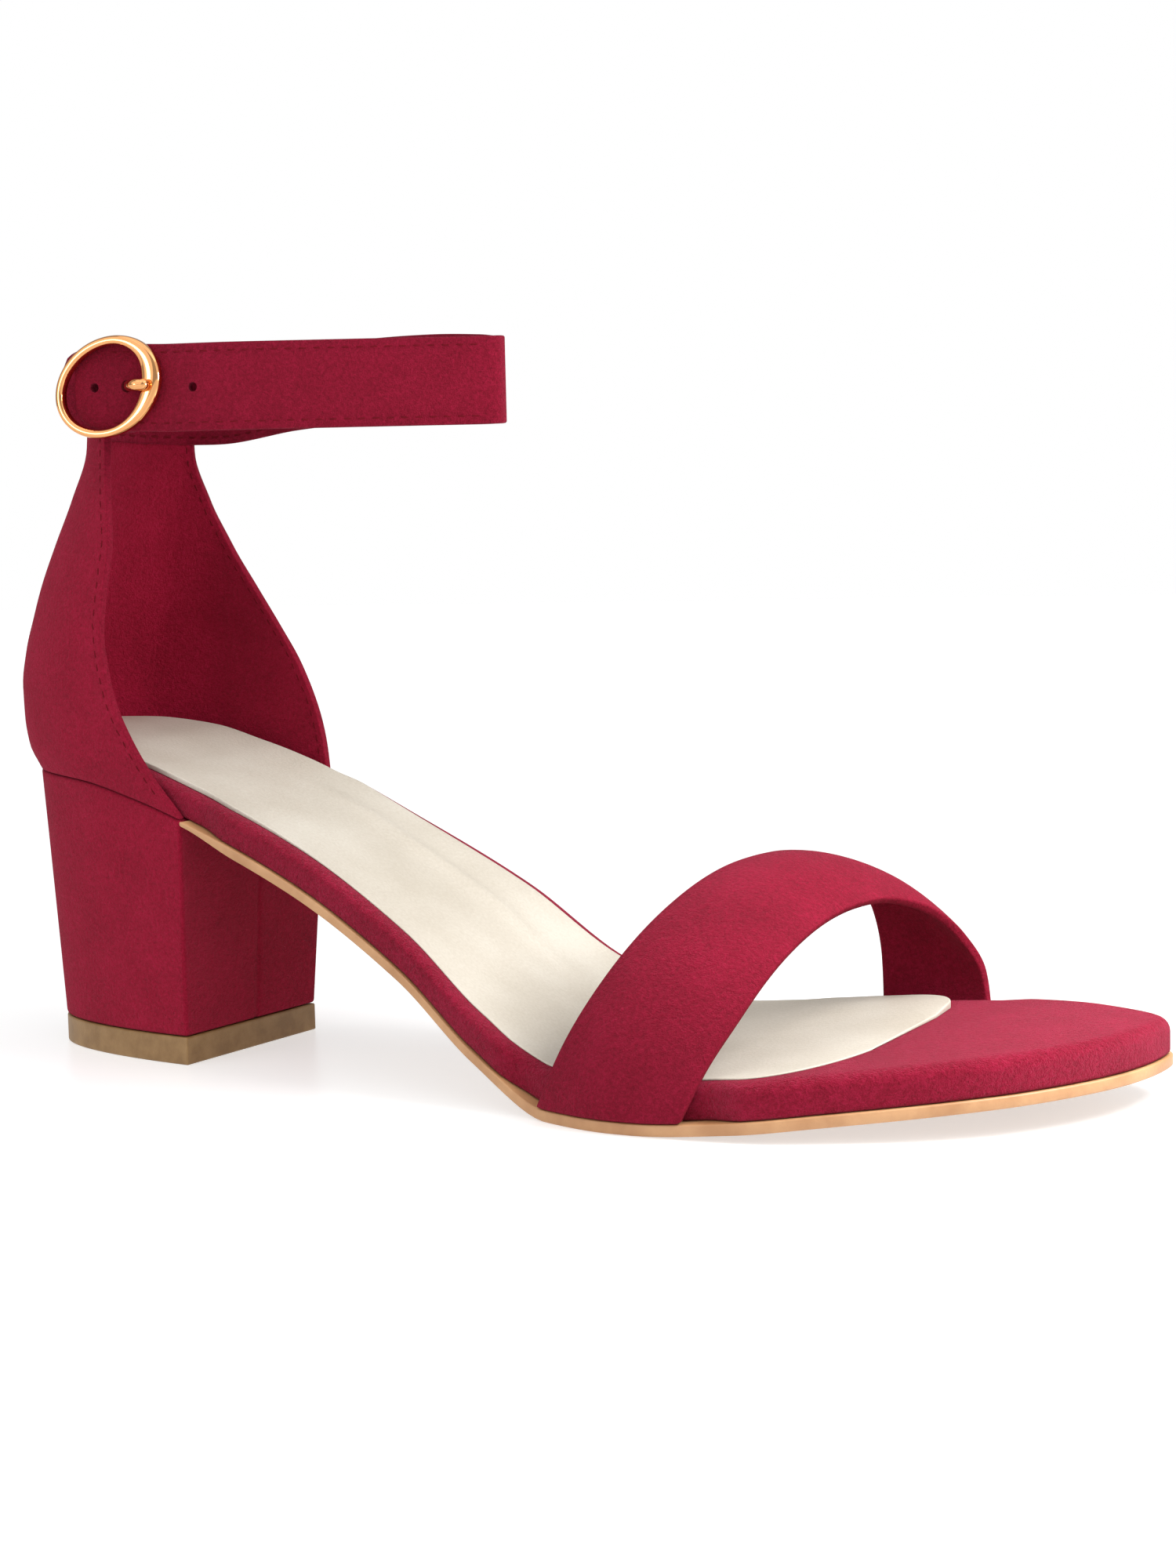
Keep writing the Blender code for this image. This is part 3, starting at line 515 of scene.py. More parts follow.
def piece(name, material, node, slot, fill, *shape, sharp=40):
    """New object whose mesh fill(bm, *shape) makes in mm, standing for a node of the part."""
    mesh = bpy.data.meshes.new(name)
    bm = bmesh.new()
    fill(bm, *shape)
    bmesh.ops.recalc_face_normals(bm, faces=bm.faces)
    bmesh.ops.translate(bm, vec=(-HEEL_REST_X, 0, 0), verts=bm.verts)
    bmesh.ops.scale(bm, vec=(MM, MM, MM), verts=bm.verts)
    bm.to_mesh(mesh)
    bm.free()
    mesh.materials.append(material)
    mesh.shade_smooth()
    mesh.set_sharp_from_angle(angle=math.radians(sharp))
    obj = bpy.data.objects.new(name, mesh)
    bpy.context.scene.collection.objects.link(obj)
    if node:
        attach(obj, "root")
        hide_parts(node)
    return obj


def add_face(bm, corners, number):
    """Face between corners, without the ones that repeat at a round end."""
    kept = []
    for corner in corners:
        if corner not in kept:
            kept.append(corner)
    if len(kept) > 2:
        face = bm.faces.new(kept)
        face.material_index = number


def cap(bm, ring, columns, height, number):
    """Close one level and return its grid of points."""
    grid = []
    for low, high in ring:
        line = [low]
        for k in range(1, columns):
            if low is high:
                line.append(low)
                continue
            place = low.co.lerp(high.co, k / columns)
            line.append(bm.verts.new((place.x, place.y, height(place.x, place.y))))
        grid.append(line + [high])
    for near, far in zip(grid, grid[1:]):
        for k in range(columns):
            add_face(bm, [near[k], far[k], far[k + 1], near[k + 1]], number)
    return grid


def stack(bm, levels, columns, top, bottom, numbers=(0, 0, 0)):
    """Closed solid from levels of paired edge points, with material numbers of side, top, bottom."""
    rings = []
    for rows in levels:
        ring = []
        for low, high in rows:
            first = bm.verts.new(low)
            closed_end = (Vector(low) - Vector(high)).length < NO_WIDTH
            ring.append((first, first if closed_end else bm.verts.new(high)))
        rings.append(ring)
    for lower, upper in zip(rings, rings[1:]):
        for j in range(len(lower) - 1):
            add_face(bm, [lower[j][0], lower[j + 1][0], upper[j + 1][0], upper[j][0]], numbers[0])
            add_face(bm, [lower[j + 1][1], lower[j][1], upper[j][1], upper[j + 1][1]], numbers[0])
    floor = cap(bm, rings[0], columns, bottom, numbers[2])
    roof = cap(bm, rings[-1], columns, top, numbers[1])
    for j in (0, -1):
        if rings[0][j][0] is rings[0][j][1]:
            continue
        rising = [ring[j][1] for ring in rings[1:-1]]
        falling = [ring[j][0] for ring in reversed(rings[1:-1])]
        add_face(bm, floor[j] + rising + roof[j][::-1] + falling, numbers[0])


def edge_levels(rows, low, high, inset, edges):
    """Levels of a plate with a round lower and a round upper edge."""
    below, above, steps = edges
    turns = quarter(steps)
    shapes = [(below * (1 - math.sin(a)), low, below * (1 - math.cos(a))) for a in turns]
    shapes += [(above * (1 - math.cos(a)), high, above * (math.sin(a) - 1)) for a in turns]
    levels = []
    for extra, surface, offset in shapes:
        moved = drawn_in(rows, lambda side, x: inset(side, x) + extra)
        levels.append(raised(moved, lambda x, y: surface(x, y) + offset))
    return levels


def make_outsole(edge, tread):
    """Thin sole sheet with a finished edge."""
    start = SEAT_LENGTH + GAP + OUTSOLE_MARGIN
    rows = plan_rows([start] + [x for x in stations(SOLE_STATIONS) if x > start + STATION_CLEAR])

    def low(x, y):
        return underside(x) + OUTSOLE_SKIVE * (1 - smooth_step(x, start, start + SKIVE_LENGTH))

    def high(x, y):
        return seam(x)

    levels = edge_levels(rows, low, high, lambda side, x: -OUTSOLE_MARGIN, OUTSOLE_EDGES)
    shape = levels, OUTSOLE_COLUMNS, high, low, (0, 0, 1)
    obj = piece("sole_sheet", edge, "outsole", "outsole_tan", stack, *shape)
    obj.data.materials.append(tread)


def make_platform(suede):
    """Suede-wrapped footbed with a soft round edge."""
    rows = plan_rows(stations(FOOTBED_STATIONS))

    def low(x, y):
        return seam(x) + CLEAR

    levels = edge_levels(rows, low, footbed, tuck, RIM_EDGES)
    piece("footbed_suede", suede, "platform", "suede", stack, levels, FOOTBED_COLUMNS, footbed, low)


def sock_rows():
    """Plan of the sock: the footbed's, drawn in, with a round front before the toes."""
    span = SOCK_FRONT - SOCK_ROUND_FROM
    xs = [x for x in stations(SOLE_STATIONS) if x < SOCK_ROUND_FROM - STATION_CLEAR]
    xs += [SOCK_ROUND_FROM + span * math.sin(angle) for angle in quarter(ROUND_ROWS)]
    rows = drawn_in(plan_rows(xs), lambda side, x: SOCK_INSET + SOCK_TUCK * tuck(side, x))
    shaped = []
    for row in rows:
        pair = []
        for x, y in row:
            ahead = min(1.0, max(0.0, (x - SOCK_ROUND_FROM) / span))
            share = (1 - ahead**SOCK_ROUND_GROWTH) ** SOCK_ROUND_POWER
            pair.append((x, SOCK_FRONT_CENTRE + (y - SOCK_FRONT_CENTRE) * share))
        shaped.append(tuple(pair))
    shaped[-1] = ((SOCK_FRONT, SOCK_FRONT_CENTRE), (SOCK_FRONT, SOCK_FRONT_CENTRE))
    return shaped


def crease(x, y):
    """Low ridge along the arch, where the sock bends up to the inner side."""
    station = x / LENGTH
    line = read(CREASE, "across", station) * BALL_WIDTH
    return read(CREASE, "height", station) * math.exp(-(((y - line) / CREASE_WIDTH) ** 2))


def make_sock(leather):
    """Cream sock with a soft edge."""
    rows = sock_rows()

    def low(x, y):
        return footbed(x, y) + SOCK_CLEAR

    def high(x, y):
        thin = SOCK_THINNING * smooth_step(x, *SOCK_THIN_AT)
        rise = SOCK_TOE_RISE * smooth_step(x, *SOCK_TOE_AT) * smooth_step(y, *SOCK_RISE_ACROSS)
        return footbed(x, y) + GAP + SOCK_THICKNESS - thin + rise + crease(x, y)

    levels = edge_levels(rows, low, high, lambda side, x: 0.0, SOCK_EDGES)
    piece("sock_leather", leather, "insole", "sock", stack, levels, SOCK_COLUMNS, high, low)


def heel_ring(rows, breast_steps, groove=0.0):
    """Points round the heel from pairs of edge points: outer side, breast, inner side."""
    outer = [Vector(row[0]) for row in rows]
    inner = [Vector(row[1]) for row in rows]
    shares = even(breast_steps)[1:-1]
    if groove:
        shares = [share for share in shares if abs(share - BREAST_SEAM) > SEAM_CLEAR]
        shares += [BREAST_SEAM - SEAM_HALF, BREAST_SEAM, BREAST_SEAM + SEAM_HALF]
    breast = [outer[-1].lerp(inner[-1], share) for share in sorted(shares)]
    if groove:
        breast[sorted(shares).index(BREAST_SEAM)].x -= groove
    return outer + breast + inner[:0:-1]


def heel_base_rows():
    """Plan of the heel's foot: straight breast, full sides and a round back."""
    rows = []
    cos = math.cos(HEEL_BASE_TURN)
    sin = math.sin(HEEL_BASE_TURN)
    middle = HEEL_REAR + HEEL_BASE_LENGTH / 2
    for angle in quarter(ROUND_ROWS):
        along = 1 - math.cos(angle)
        half = HEEL_BASE_HALF_WIDTH * (1 - (1 - along) ** 2) ** (1 / HEEL_SQUARENESS)
        x = HEEL_BASE_LENGTH * (along - 0.5)
        pair = []
        for y in (-half, half):
            pair.append((middle + x * cos - y * sin, HEEL_BASE_CENTRE + x * sin + y * cos))
        rows.append(tuple(pair))
    return rows


def loft(bm, rings):
    """Closed surface through rings of the same number of points, with its two ends filled."""
    loops = [[bm.verts.new(point) for point in ring] for ring in rings]
    count = len(loops[0])
    for lower, upper in zip(loops, loops[1:]):
        for k in range(count):
            after = (k + 1) % count
            bm.faces.new([lower[k], lower[after], upper[after], upper[k]])
    bm.faces.new(loops[0][::-1])
    bm.faces.new(loops[-1])


def soften(obj, width):
    """Round the sharp edges of a piece."""
    bevel = obj.modifiers.new("edge", "BEVEL")
    bevel.width = width * MM
    bevel.segments = 3
    bevel.limit_method = "ANGLE"
    bevel.angle_limit = math.radians(35)


def make_heel(suede):
    """Suede-covered block heel with a seam down its breast."""
    foot = raised(heel_base_rows(), lambda x, y: TOP_PIECE_HEIGHT + HEEL_FOOT_CLEAR)
    xs = [SEAT_LENGTH * (1 - math.cos(angle)) for angle in quarter(ROUND_ROWS)]
    seat = raised(plan_rows(xs), lambda x, y: seam(x) - CLEAR)
    low = heel_ring(foot, HEEL_BREAST_STEPS, SEAM_DEPTH)
    high = heel_ring(seat, HEEL_BREAST_STEPS, SEAM_DEPTH)
    rings = [[a.lerp(b, share) for a, b in zip(low, high)] for share in even(HEEL_LEVELS)]
    soften(piece("heel_cover", suede, "heel_block", "suede", loft, rings), HEEL_ROUND)


def make_top_piece(rubber):
    """Lift under the heel."""
    rows = heel_base_rows()
    low = heel_ring(raised(rows, lambda x, y: 0.0), TOP_PIECE_BREAST_STEPS)
    high = heel_ring(raised(rows, lambda x, y: TOP_PIECE_HEIGHT), TOP_PIECE_BREAST_STEPS)
    soften(piece("heel_lift", rubber, "top_piece", "rubber", loft, [low, high]), TOP_PIECE_ROUND)


def counter_point(level, turn):
    """Outer face of the counter. Turn runs from -1, lateral front, to 1, medial front."""
    side = "lateral" if turn < 0 else "medial"
    rear = SEAT_LENGTH * read(COUNTER, "rear", level)
    front = SEAT_LENGTH * read(COUNTER, "front_" + side, level)
    x = rear + (front - rear) * (1 - math.cos(math.pi / 2 * abs(turn)))
    y = outline_y(side, (x - rear) / read(COUNTER, "depth", level)) * read(COUNTER, side, level)
    low = seam(x) + COUNTER_CLEAR
    return Vector((x, y, low + (COUNTER_TOP - low) * level))


def skin(bm, grid):
    """Open surface through a grid of points."""
    verts = [[bm.verts.new(point) for point in line] for line in grid]
    for near, far in zip(verts, verts[1:]):
        for k in range(len(near) - 1):
            bm.faces.new([near[k], far[k], far[k + 1], near[k + 1]])


def face_away_from(obj, point):
    """Turn an open surface's faces away from a point inside it, in mm of the part's tables."""
    mesh = obj.data
    inside = (Vector(point) - Vector((HEEL_REST_X, 0, 0))) * MM
    outward = sum((face.center - inside).dot(face.normal) * face.area for face in mesh.polygons)
    if outward < 0:
        mesh.flip_normals()


def make_wall(name, node, suede, raw, grid, inside, thickness):
    """Suede wall with raw edges, from the points of its outer face and one point inside it."""
    obj = piece(name, suede, node, "suede", skin, grid)
    face_away_from(obj, inside)
    solidify = obj.modifiers.new("wall", "SOLIDIFY")
    solidify.thickness = thickness * MM
    solidify.offset = -1.0
    solidify.use_even_offset = True
    solidify.use_rim = True
    obj.data.materials.append(raw)
    solidify.material_offset_rim = 1
    soften(obj, WALL_ROUND)


def make_counter(suede, raw):
    """Counter round the heel, open at the front and the top."""
    turns = [2 * share - 1 for share in even(COUNTER_TURNS)]
    grid = [[counter_point(level, turn) for turn in turns] for level in even(COUNTER_LEVELS)]
    inside = (SEAT_LENGTH / 2, 0, COUNTER_TOP / 2)
    make_wall("counter_suede", "heel_upper", suede, raw, grid, inside, COUNTER_WALL)


def band_point(turn, width_share):
    """Outer face of the toe band. Turn runs over the foot, width_share from rear to front edge."""
    rear = LENGTH * read(BAND, "rear", turn)
    front = LENGTH * read(BAND, "front", turn)
    x = rear + (front - rear) * width_share
    ridge = BAND_REAR_RIDGE + (BAND_FRONT_RIDGE - BAND_REAR_RIDGE) * width_share
    rise = BAND_REAR_RISE + (BAND_FRONT_RISE - BAND_REAR_RISE) * width_share
    rise += BAND_CROWN * 4 * width_share * (1 - width_share)
    side = "lateral" if turn < 0.5 else "medial"
    proud = BAND_WALL + GAP - BAND_TUCK
    edge = outline_y(side, x) + (-proud if turn < 0.5 else proud)
    angle = math.pi * turn
    power = 2 / BAND_SQUARENESS[side]
    y = ridge + (edge - ridge) * abs(math.cos(angle)) ** power
    y += BAND_BULGE * 4 * width_share * (1 - width_share) * max(0.0, -math.sin(2 * angle))
    z = seam(x) + BAND_CLEAR + (rise + BAND_RISE_MORE) * math.sin(angle) ** power
    return Vector((x, y, z))


def make_band(suede, raw):
    """Slanted band over the forefoot."""
    grid = [[band_point(turn, width) for turn in even(BAND_TURNS)] for width in even(BAND_ROWS)]
    inside = (LENGTH * BAND_MIDDLE, 0, 0)
    make_wall("band_suede", "toe_band", suede, raw, grid, inside, BAND_WALL)


def buckle_place(along, outward):
    """Plan point in the buckle's own directions: along the strap and away from the ankle."""
    cos = math.cos(BUCKLE_TURN)
    sin = math.sin(BUCKLE_TURN)
    return (BUCKLE_X + along * cos + outward * sin, BUCKLE_Y + along * sin - outward * cos)


def bar_loop():
    """The strap's short end, folded back round the buckle's bar."""
    radius = BAR_RADIUS + GAP + STRAP_THICKNESS / 2
    points = [(along * radius, out * radius) for along, out in FOLD]
    for i in range(FOLD_STEPS + 1):
        angle = math.pi / 2 - math.pi * i / FOLD_STEPS
        points.append((radius * math.cos(angle), radius * math.sin(angle)))
    return [buckle_place(*point) for point in points]


def heading(path, index):
    """Direction in plan of a path at one of its points."""
    before = path[max(index - 1, 0)]
    after = path[min(index + 1, len(path) - 1)]
    return Vector((after[0] - before[0], after[1] - before[1])).normalized()


def circle(count):
    """Cosine and sine of equal turns once round."""
    turns = [2 * math.pi * k / count for k in range(count)]
    return [(math.cos(turn), math.sin(turn)) for turn in turns]


def tunnel_path():
    """The strap's way round the heel, inside the wall of the counter's top."""
    depth = COUNTER_WALL / 2
    first, last = TUNNEL_TURNS
    turns = [first + (last - first) * i / TUNNEL_ROWS for i in range(TUNNEL_ROWS + 1)]
    points = [counter_point(TUNNEL_LEVEL, turn) for turn in turns]
    path = []
    for i, point in enumerate(points):
        along = heading(points, i)
        path.append((point[0] + along.y * depth, point[1] - along.x * depth))
    return path


def layer_offset():
    """From the buckle's bar to the middle of the long strap, which lies over the folded end."""
    return BAR_RADIUS + GAP + STRAP_THICKNESS + GAP + STRAP_THICKNESS / 2


def strap_path():
    """Middle of the strap in plan, with its lift, from the folded end to the free tip."""
    path = [(x, y, FOLD_LIFT) for x, y in bar_loop()]
    tunnel = tunnel_path()
    entry = LOOP[1][2] * STRAP_WIDTH
    for i, (x, y) in enumerate(tunnel):
        path.append((x, y, FOLD_LIFT + (entry - FOLD_LIFT) * i / (len(tunnel) - 1)))
    for along, across, lift in LOOP[1:]:
        path.append((along * LOOP_REACH, across * LOOP_WIDTH, lift * STRAP_WIDTH))
    over = layer_offset()
    for along, lift in STRAP_END:
        path.append((*buckle_place(along, over), lift))
    return path


def through(points, step):
    """Smooth curve through points, sampled about every step mm but at least at each point."""
    points = [Vector(point) for point in points]
    ends = [2 * points[0] - points[1]] + points + [2 * points[-1] - points[-2]]
    sampled = []
    for before, start, end, after in zip(ends, ends[1:], ends[2:], ends[3:]):
        length = (end - start).length
        into = (end - before).normalized() * length
        out = (after - start).normalized() * length
        count = max(1, round(length / step))
        for i in range(count):
            a, b, c, d = span_weights(i / count)
            sampled.append(a * start + b * into + c * end + d * out)
    return sampled + [points[-1]]


def half_width_at(rest):
    """Half the strap's width at a distance from one of its ends, which are rounded."""
    short = max(0.0, 1 - rest / STRAP_TIP_ROUND)
    return STRAP_WIDTH / 2 * (TIP_WIDTH + (1 - TIP_WIDTH) * math.sqrt(1 - short**2))


def strap_section(half):
    """Section of the strap: (across, outward) round its outer face, edge, inner face, edge."""
    wall = STRAP_THICKNESS / 2
    line = half - STITCH_INSET
    rim = half - STRAP_EDGE_ROUND
    side = half - STRAP_EDGE_INSET
    middle = half * STRAP_MIDDLE
    face = []
    for across in (-rim, -line - GROOVE_HALF, -line, -line + GROOVE_HALF, -middle, 0.0):
        dip = GROOVE_DEPTH if across == -line else 0.0
        face.append((across, wall - dip))
    outer = face + [(-across, out) for across, out in reversed(face[:-1])]
    edge = [(side, wall * STRAP_EDGE_HEIGHT), (half, 0.0), (side, -wall * STRAP_EDGE_HEIGHT)]
    inner = [(across, -wall) for across in (rim, middle, 0.0, -middle, -rim)]
    return outer + edge + inner + [(-across, out) for across, out in reversed(edge)]


def strap_ring(path, index):
    """Points round the strap's section at one point of its path."""
    spot = path[index]
    along = heading(path, index)
    end = path[-1] if index > len(path) / 2 else path[0]
    ring = []
    for across, out in strap_section(half_width_at((spot - end).length)):
        ring.append((spot.x + along.y * out, spot.y - along.x * out, STRAP_CENTRE + spot.z + across))
    return ring


def make_strap(suede):
    """Ankle strap with its punched holes."""
    path = through(strap_path(), STRAP_STEP)
    rings = [strap_ring(path, index) for index in range(len(path))]
    strap = piece("strap_suede", suede, "heel_upper", "suede", loft, rings, sharp=STRAP_SHARP)
    punch_holes(strap, suede)


def punch(name, along, radius, suede):
    """Round tool through the outer layer of the strap."""
    far = along > BUCKLE_WIDTH / 2
    middle = layer_offset() + (FAR_HOLE_OUT if far else 0.0)
    lift = 0.0 if far else HOLE_LIFT
    reach = FAR_PUNCH_REACH if far else PUNCH_REACH
    ends = []
    for outward in (-reach, reach):
        ring = []
        for cos, sin in circle(ROUND_SIDES):
            x, y = buckle_place(along + radius * cos, middle + outward)
            ring.append((x, y, STRAP_CENTRE + lift + radius * sin))
        ends.append(ring)
    return piece(name, suede, None, None, loft, ends)


def punch_holes(strap, suede):
    """Cut the strap's holes and keep the result as its mesh."""
    tools = []
    for number, offset in enumerate(HOLE_PLACES):
        radius = PRONG_HOLE_RADIUS if offset == 0 else HOLE_RADIUS
        tool = punch("punch_" + str(number), PRONG_PLACE + offset * HOLE_PITCH, radius, suede)
        boolean = strap.modifiers.new(tool.name, "BOOLEAN")
        boolean.operation = "DIFFERENCE"
        boolean.solver = "EXACT"
        boolean.object = tool
        tools.append(tool)
    bpy.context.view_layer.update()
    graph = bpy.context.evaluated_depsgraph_get()
    strap.data = bpy.data.meshes.new_from_object(strap.evaluated_get(graph))
    strap.data.set_sharp_from_angle(angle=math.radians(STRAP_SHARP))
    strap.modifiers.clear()
    for tool in tools:
        bpy.data.objects.remove(tool)


def in_buckle(along, outward, up):
    """Point in the buckle's directions as a point of the part."""
    x, y = buckle_place(along, outward)
    return Vector((x, y, STRAP_CENTRE + BUCKLE_LIFT + up))


def ring_back():
    """From the buckle's bar to the ring's back."""
    return layer_offset() + STRAP_THICKNESS / 2 + CLEAR


def squared(share):
    """Cosine or sine of a turn, grown so that a round section gets flatter sides."""
    return math.copysign(abs(share) ** RING_SQUARENESS, share)


def ring_section(angle):
    """Points round the ring's section at one angle, broader towards the front."""
    lean = angle + RING_LEAN
    centre = Vector((RING_WIDE * math.cos(angle), RING_TALL * math.sin(lean)))
    outward = Vector((RING_TALL * math.cos(lean), RING_WIDE * math.sin(angle))).normalized()
    broad = RING_BAND / 2 + RING_BROAD / 2 * max(0.0, math.cos(angle)) ** 2
    centre -= outward * (broad - RING_BAND / 2)
    section = []
    for cos, sin in circle(RING_CORNERS):
        place = centre + outward * (broad * squared(cos))
        deep = ring_back() + BUCKLE_DEPTH / 2 + BUCKLE_DEPTH / 2 * squared(sin)
        section.append(in_buckle(place.x, deep, place.y))
    return section


def closed_tube(bm, sections):
    """Surface through sections of the same number of points, joined up into a ring."""
    loops = [[bm.verts.new(point) for point in section] for section in sections]
    count = len(loops[0])
    for near, far in zip(loops, loops[1:] + loops[:1]):
        for k in range(count):
            after = (k + 1) % count
            bm.faces.new([near[k], far[k], far[after], near[after]])


def make_buckle_ring(gold):
    """Oval ring with softly rounded faces."""
    sections = [ring_section(2 * math.pi * i / RING_STEPS) for i in range(RING_STEPS)]
    piece("buckle_ring", gold, "buckle_frame", "gold", closed_tube, sections)


def wire_dome(ring, reach, order):
    """Rings that close one end of a round wire."""
    spot, other, up, along = ring
    dome = []
    for k in order:
        angle = math.pi / 2 * k / DOME_SPREAD
        radius = abs(reach) * math.cos(angle)
        dome.append((spot + along * reach * math.sin(angle), other, up, radius))
    return dome


def wire(bm, path, thin, swell):
    """Round wire along a smooth path, with domed ends, thicker from the point swell on."""
    path = through(path, WIRE_STEP)
    start = min(range(len(path)), key=lambda i: (path[i] - swell).length)
    rings = []
    for i, spot in enumerate(path):
        along = (path[min(i + 1, len(path) - 1)] - path[max(i - 1, 0)]).normalized()
        other = along.cross(Vector((0, 0, 1))).normalized()
        rings.append((spot, other, other.cross(along), along))
    shaped = wire_dome(rings[0], -thin, range(DOME_STEPS, 0, -1))
    for i, ring in enumerate(rings):
        share = smooth_step(i, start, start + SWELL_STEPS)
        shaped.append((*ring[:3], thin + (PRONG_TIP_RADIUS - thin) * share))
    shaped += wire_dome(rings[-1], PRONG_TIP_RADIUS, range(1, DOME_STEPS + 1))
    loops = []
    for spot, other, up, radius in shaped:
        loops.append([spot + (other * cos + up * sin) * radius for cos, sin in circle(ROUND_SIDES)])
    loft(bm, loops)


def make_prong(gold):
    """Prong hooked round the bar, through the strap and resting on the ring's front."""
    radius = BAR_RADIUS + GAP + PRONG_RADIUS
    front = ring_back() + BUCKLE_DEPTH + PRONG_TIP_RADIUS
    points = []
    for i in range(HOOK_STEPS + 1):
        angle = math.radians(HOOK_FROM + HOOK_TURN * i / HOOK_STEPS)
        points.append((radius * math.cos(angle), radius * math.sin(angle)))
    end = BUCKLE_WIDTH / 2 - RING_BAND * PRONG_END
    points += [
        (PRONG_PLACE, layer_offset() - STRAP_THICKNESS / 2 - GAP),
        (PRONG_PLACE + GAP, layer_offset() + STRAP_THICKNESS / 2 + GAP),
        (end - RING_BROAD, front),
        (end - PRONG_TIP_SHORT, front),
    ]
    path = [in_buckle(along, outward, 0.0) for along, outward in points]
    piece("prong_pin", gold, "buckle_prong", "gold", wire, path, PRONG_RADIUS, path[-3])


def stitch(bm, centre, along, out):
    """One stitch: a short thread lying along a surface."""
    across = along.cross(out).normalized()
    loops = []
    for part in even(STITCH_SIDES):
        share = part * 2 - 1
        width = STITCH_RADIUS * max(STITCH_TIP, math.sqrt(max(0.0, 1 - share**4)))
        drop = out * STITCH_RADIUS * STITCH_DROP * share**4
        middle = centre + along * share * STITCH_LENGTH / 2 - drop
        loops.append([middle + (across * cos + out * sin) * width for cos, sin in circle(STITCH_SIDES)])
    loft(bm, loops)


def stitch_rows(bm, rows):
    """Stitches along rows of points with their outward normals."""
    for points, normals in rows:
        travelled = 0.0
        following = STITCH_PITCH / 2
        for i in range(len(points) - 1):
            span = points[i + 1] - points[i]
            along = span.normalized()
            while travelled + span.length > following:
                t = (following - travelled) / span.length
                out = normals[i].lerp(normals[i + 1], t).normalized()
                out = (out - along * out.dot(along)).normalized()
                stitch(bm, points[i].lerp(points[i + 1], t), along, out)
                following += STITCH_PITCH
            travelled += span.length


def strap_row(path, height, face):
    """Points and normals of one row of stitches on the strap, sunk where it folds."""
    lift = STRAP_THICKNESS / 2 - STITCH_DEPTH
    fold = max(spot.x for spot in path) - FOLD_REACH
    points = []
    normals = []
    for index in range(STITCH_STOP, len(path) - STITCH_STOP):
        spot = path[index]
        along = heading(path, index)
        out = Vector((along.y, -along.x, 0)) * face
        sink = FOLD_SINK if spot.x > fold else 0.0
        points.append(Vector((spot.x, spot.y, STRAP_CENTRE + spot.z + height)) + out * (lift - sink))
        normals.append(out)
    return points, normals


def make_strap_stitches(thread):
    """Two rows on the strap's outer face and two on its inner face."""
    path = through(strap_path(), STRAP_STEP)
    line = STRAP_WIDTH / 2 - STITCH_INSET
    rows = [strap_row(path, height, face) for face in (1, -1) for height in (-line, line)]
    piece("strap_stitches", thread, "heel_upper", "suede", stitch_rows, rows)


def counter_normal(level, turn):
    """Outward direction of the counter's face at one of its points."""
    higher = counter_point(min(level + NORMAL_STEP, 1.0), turn)
    lower = counter_point(max(level - NORMAL_STEP, 0.0), turn)
    ahead = counter_point(level, min(turn + NORMAL_STEP, 1.0))
    behind = counter_point(level, max(turn - NORMAL_STEP, -1.0))
    normal = (higher - lower).cross(ahead - behind).normalized()
    point = counter_point(level, turn)
    if normal.dot(point - Vector((SEAT_LENGTH / 2, 0, point.z))) < 0:
        normal = -normal
    return normal


def counter_row(side, face):
    """Points and normals of one row of stitches inside a front edge of the counter."""
    points = []
    normals = []
    for i in range(ROW_POINTS + 1):
        level = ROW_FROM + ROW_SPAN * i / ROW_POINTS
        front = counter_point(level, side)
        turn = side
        while (counter_point(level, turn) - front).length < STITCH_INSET:
            turn -= side * ROW_TURN
        normal = counter_normal(level, turn)
        depth = -ROW_DEPTH if face == 1 else -COUNTER_WALL + ROW_DEPTH
        points.append(counter_point(level, turn) + normal * depth + normal * ROW_LIFT * face)
        normals.append(normal * face)
    return points, normals


def make_counter_stitches(thread):
    """One row inside each front edge, on both faces of the counter."""
    rows = [counter_row(side, face) for side in (-1, 1) for face in (1, -1)]
    piece("counter_stitches", thread, "heel_upper", "suede", stitch_rows, rows)


def new_material(name):
    material = bpy.data.materials.new(name)
    material.use_nodes = True
    return material, material.node_tree, material.node_tree.nodes["Principled BSDF"]


def fill_in(node, values):
    """Set sockets of a node by name."""
    for name, value in values.items():
        node.inputs[name].default_value = value


def on_piece(tree):
    """Coordinates that stay with the piece."""
    return tree.nodes.new("ShaderNodeTexCoord").outputs["Object"]


def noise(tree, coordinates, scale, detail, roughness=0.6):
    node = tree.nodes.new("ShaderNodeTexNoise")
    fill_in(node, {"Scale": scale, "Detail": detail, "Roughness": roughness})
    tree.links.new(coordinates, node.inputs["Vector"])
    return node.outputs["Fac"]


def ramp(tree, factor, stops):
    """Colour ramp through (position, colour) stops."""
    node = tree.nodes.new("ShaderNodeValToRGB")
    elements = node.color_ramp.elements
    while len(elements) < len(stops):
        elements.new(0.5)
    for element, (position, colour) in zip(elements, stops):
        element.position = position
        element.color = (*colour, 1.0)
    tree.links.new(factor, node.inputs["Fac"])
    return node.outputs["Color"]


def weighted(tree, pairs):
    """Sum of (output, weight) pairs."""
    total = None
    for output, weight in pairs:
        node = tree.nodes.new("ShaderNodeMath")
        node.operation = "MULTIPLY_ADD"
        node.inputs[1].default_value = weight
        node.inputs[2].default_value = 0.0
        tree.links.new(output, node.inputs[0])
        if total is not None:
            tree.links.new(total, node.inputs[2])
        total = node.outputs[0]
    return total


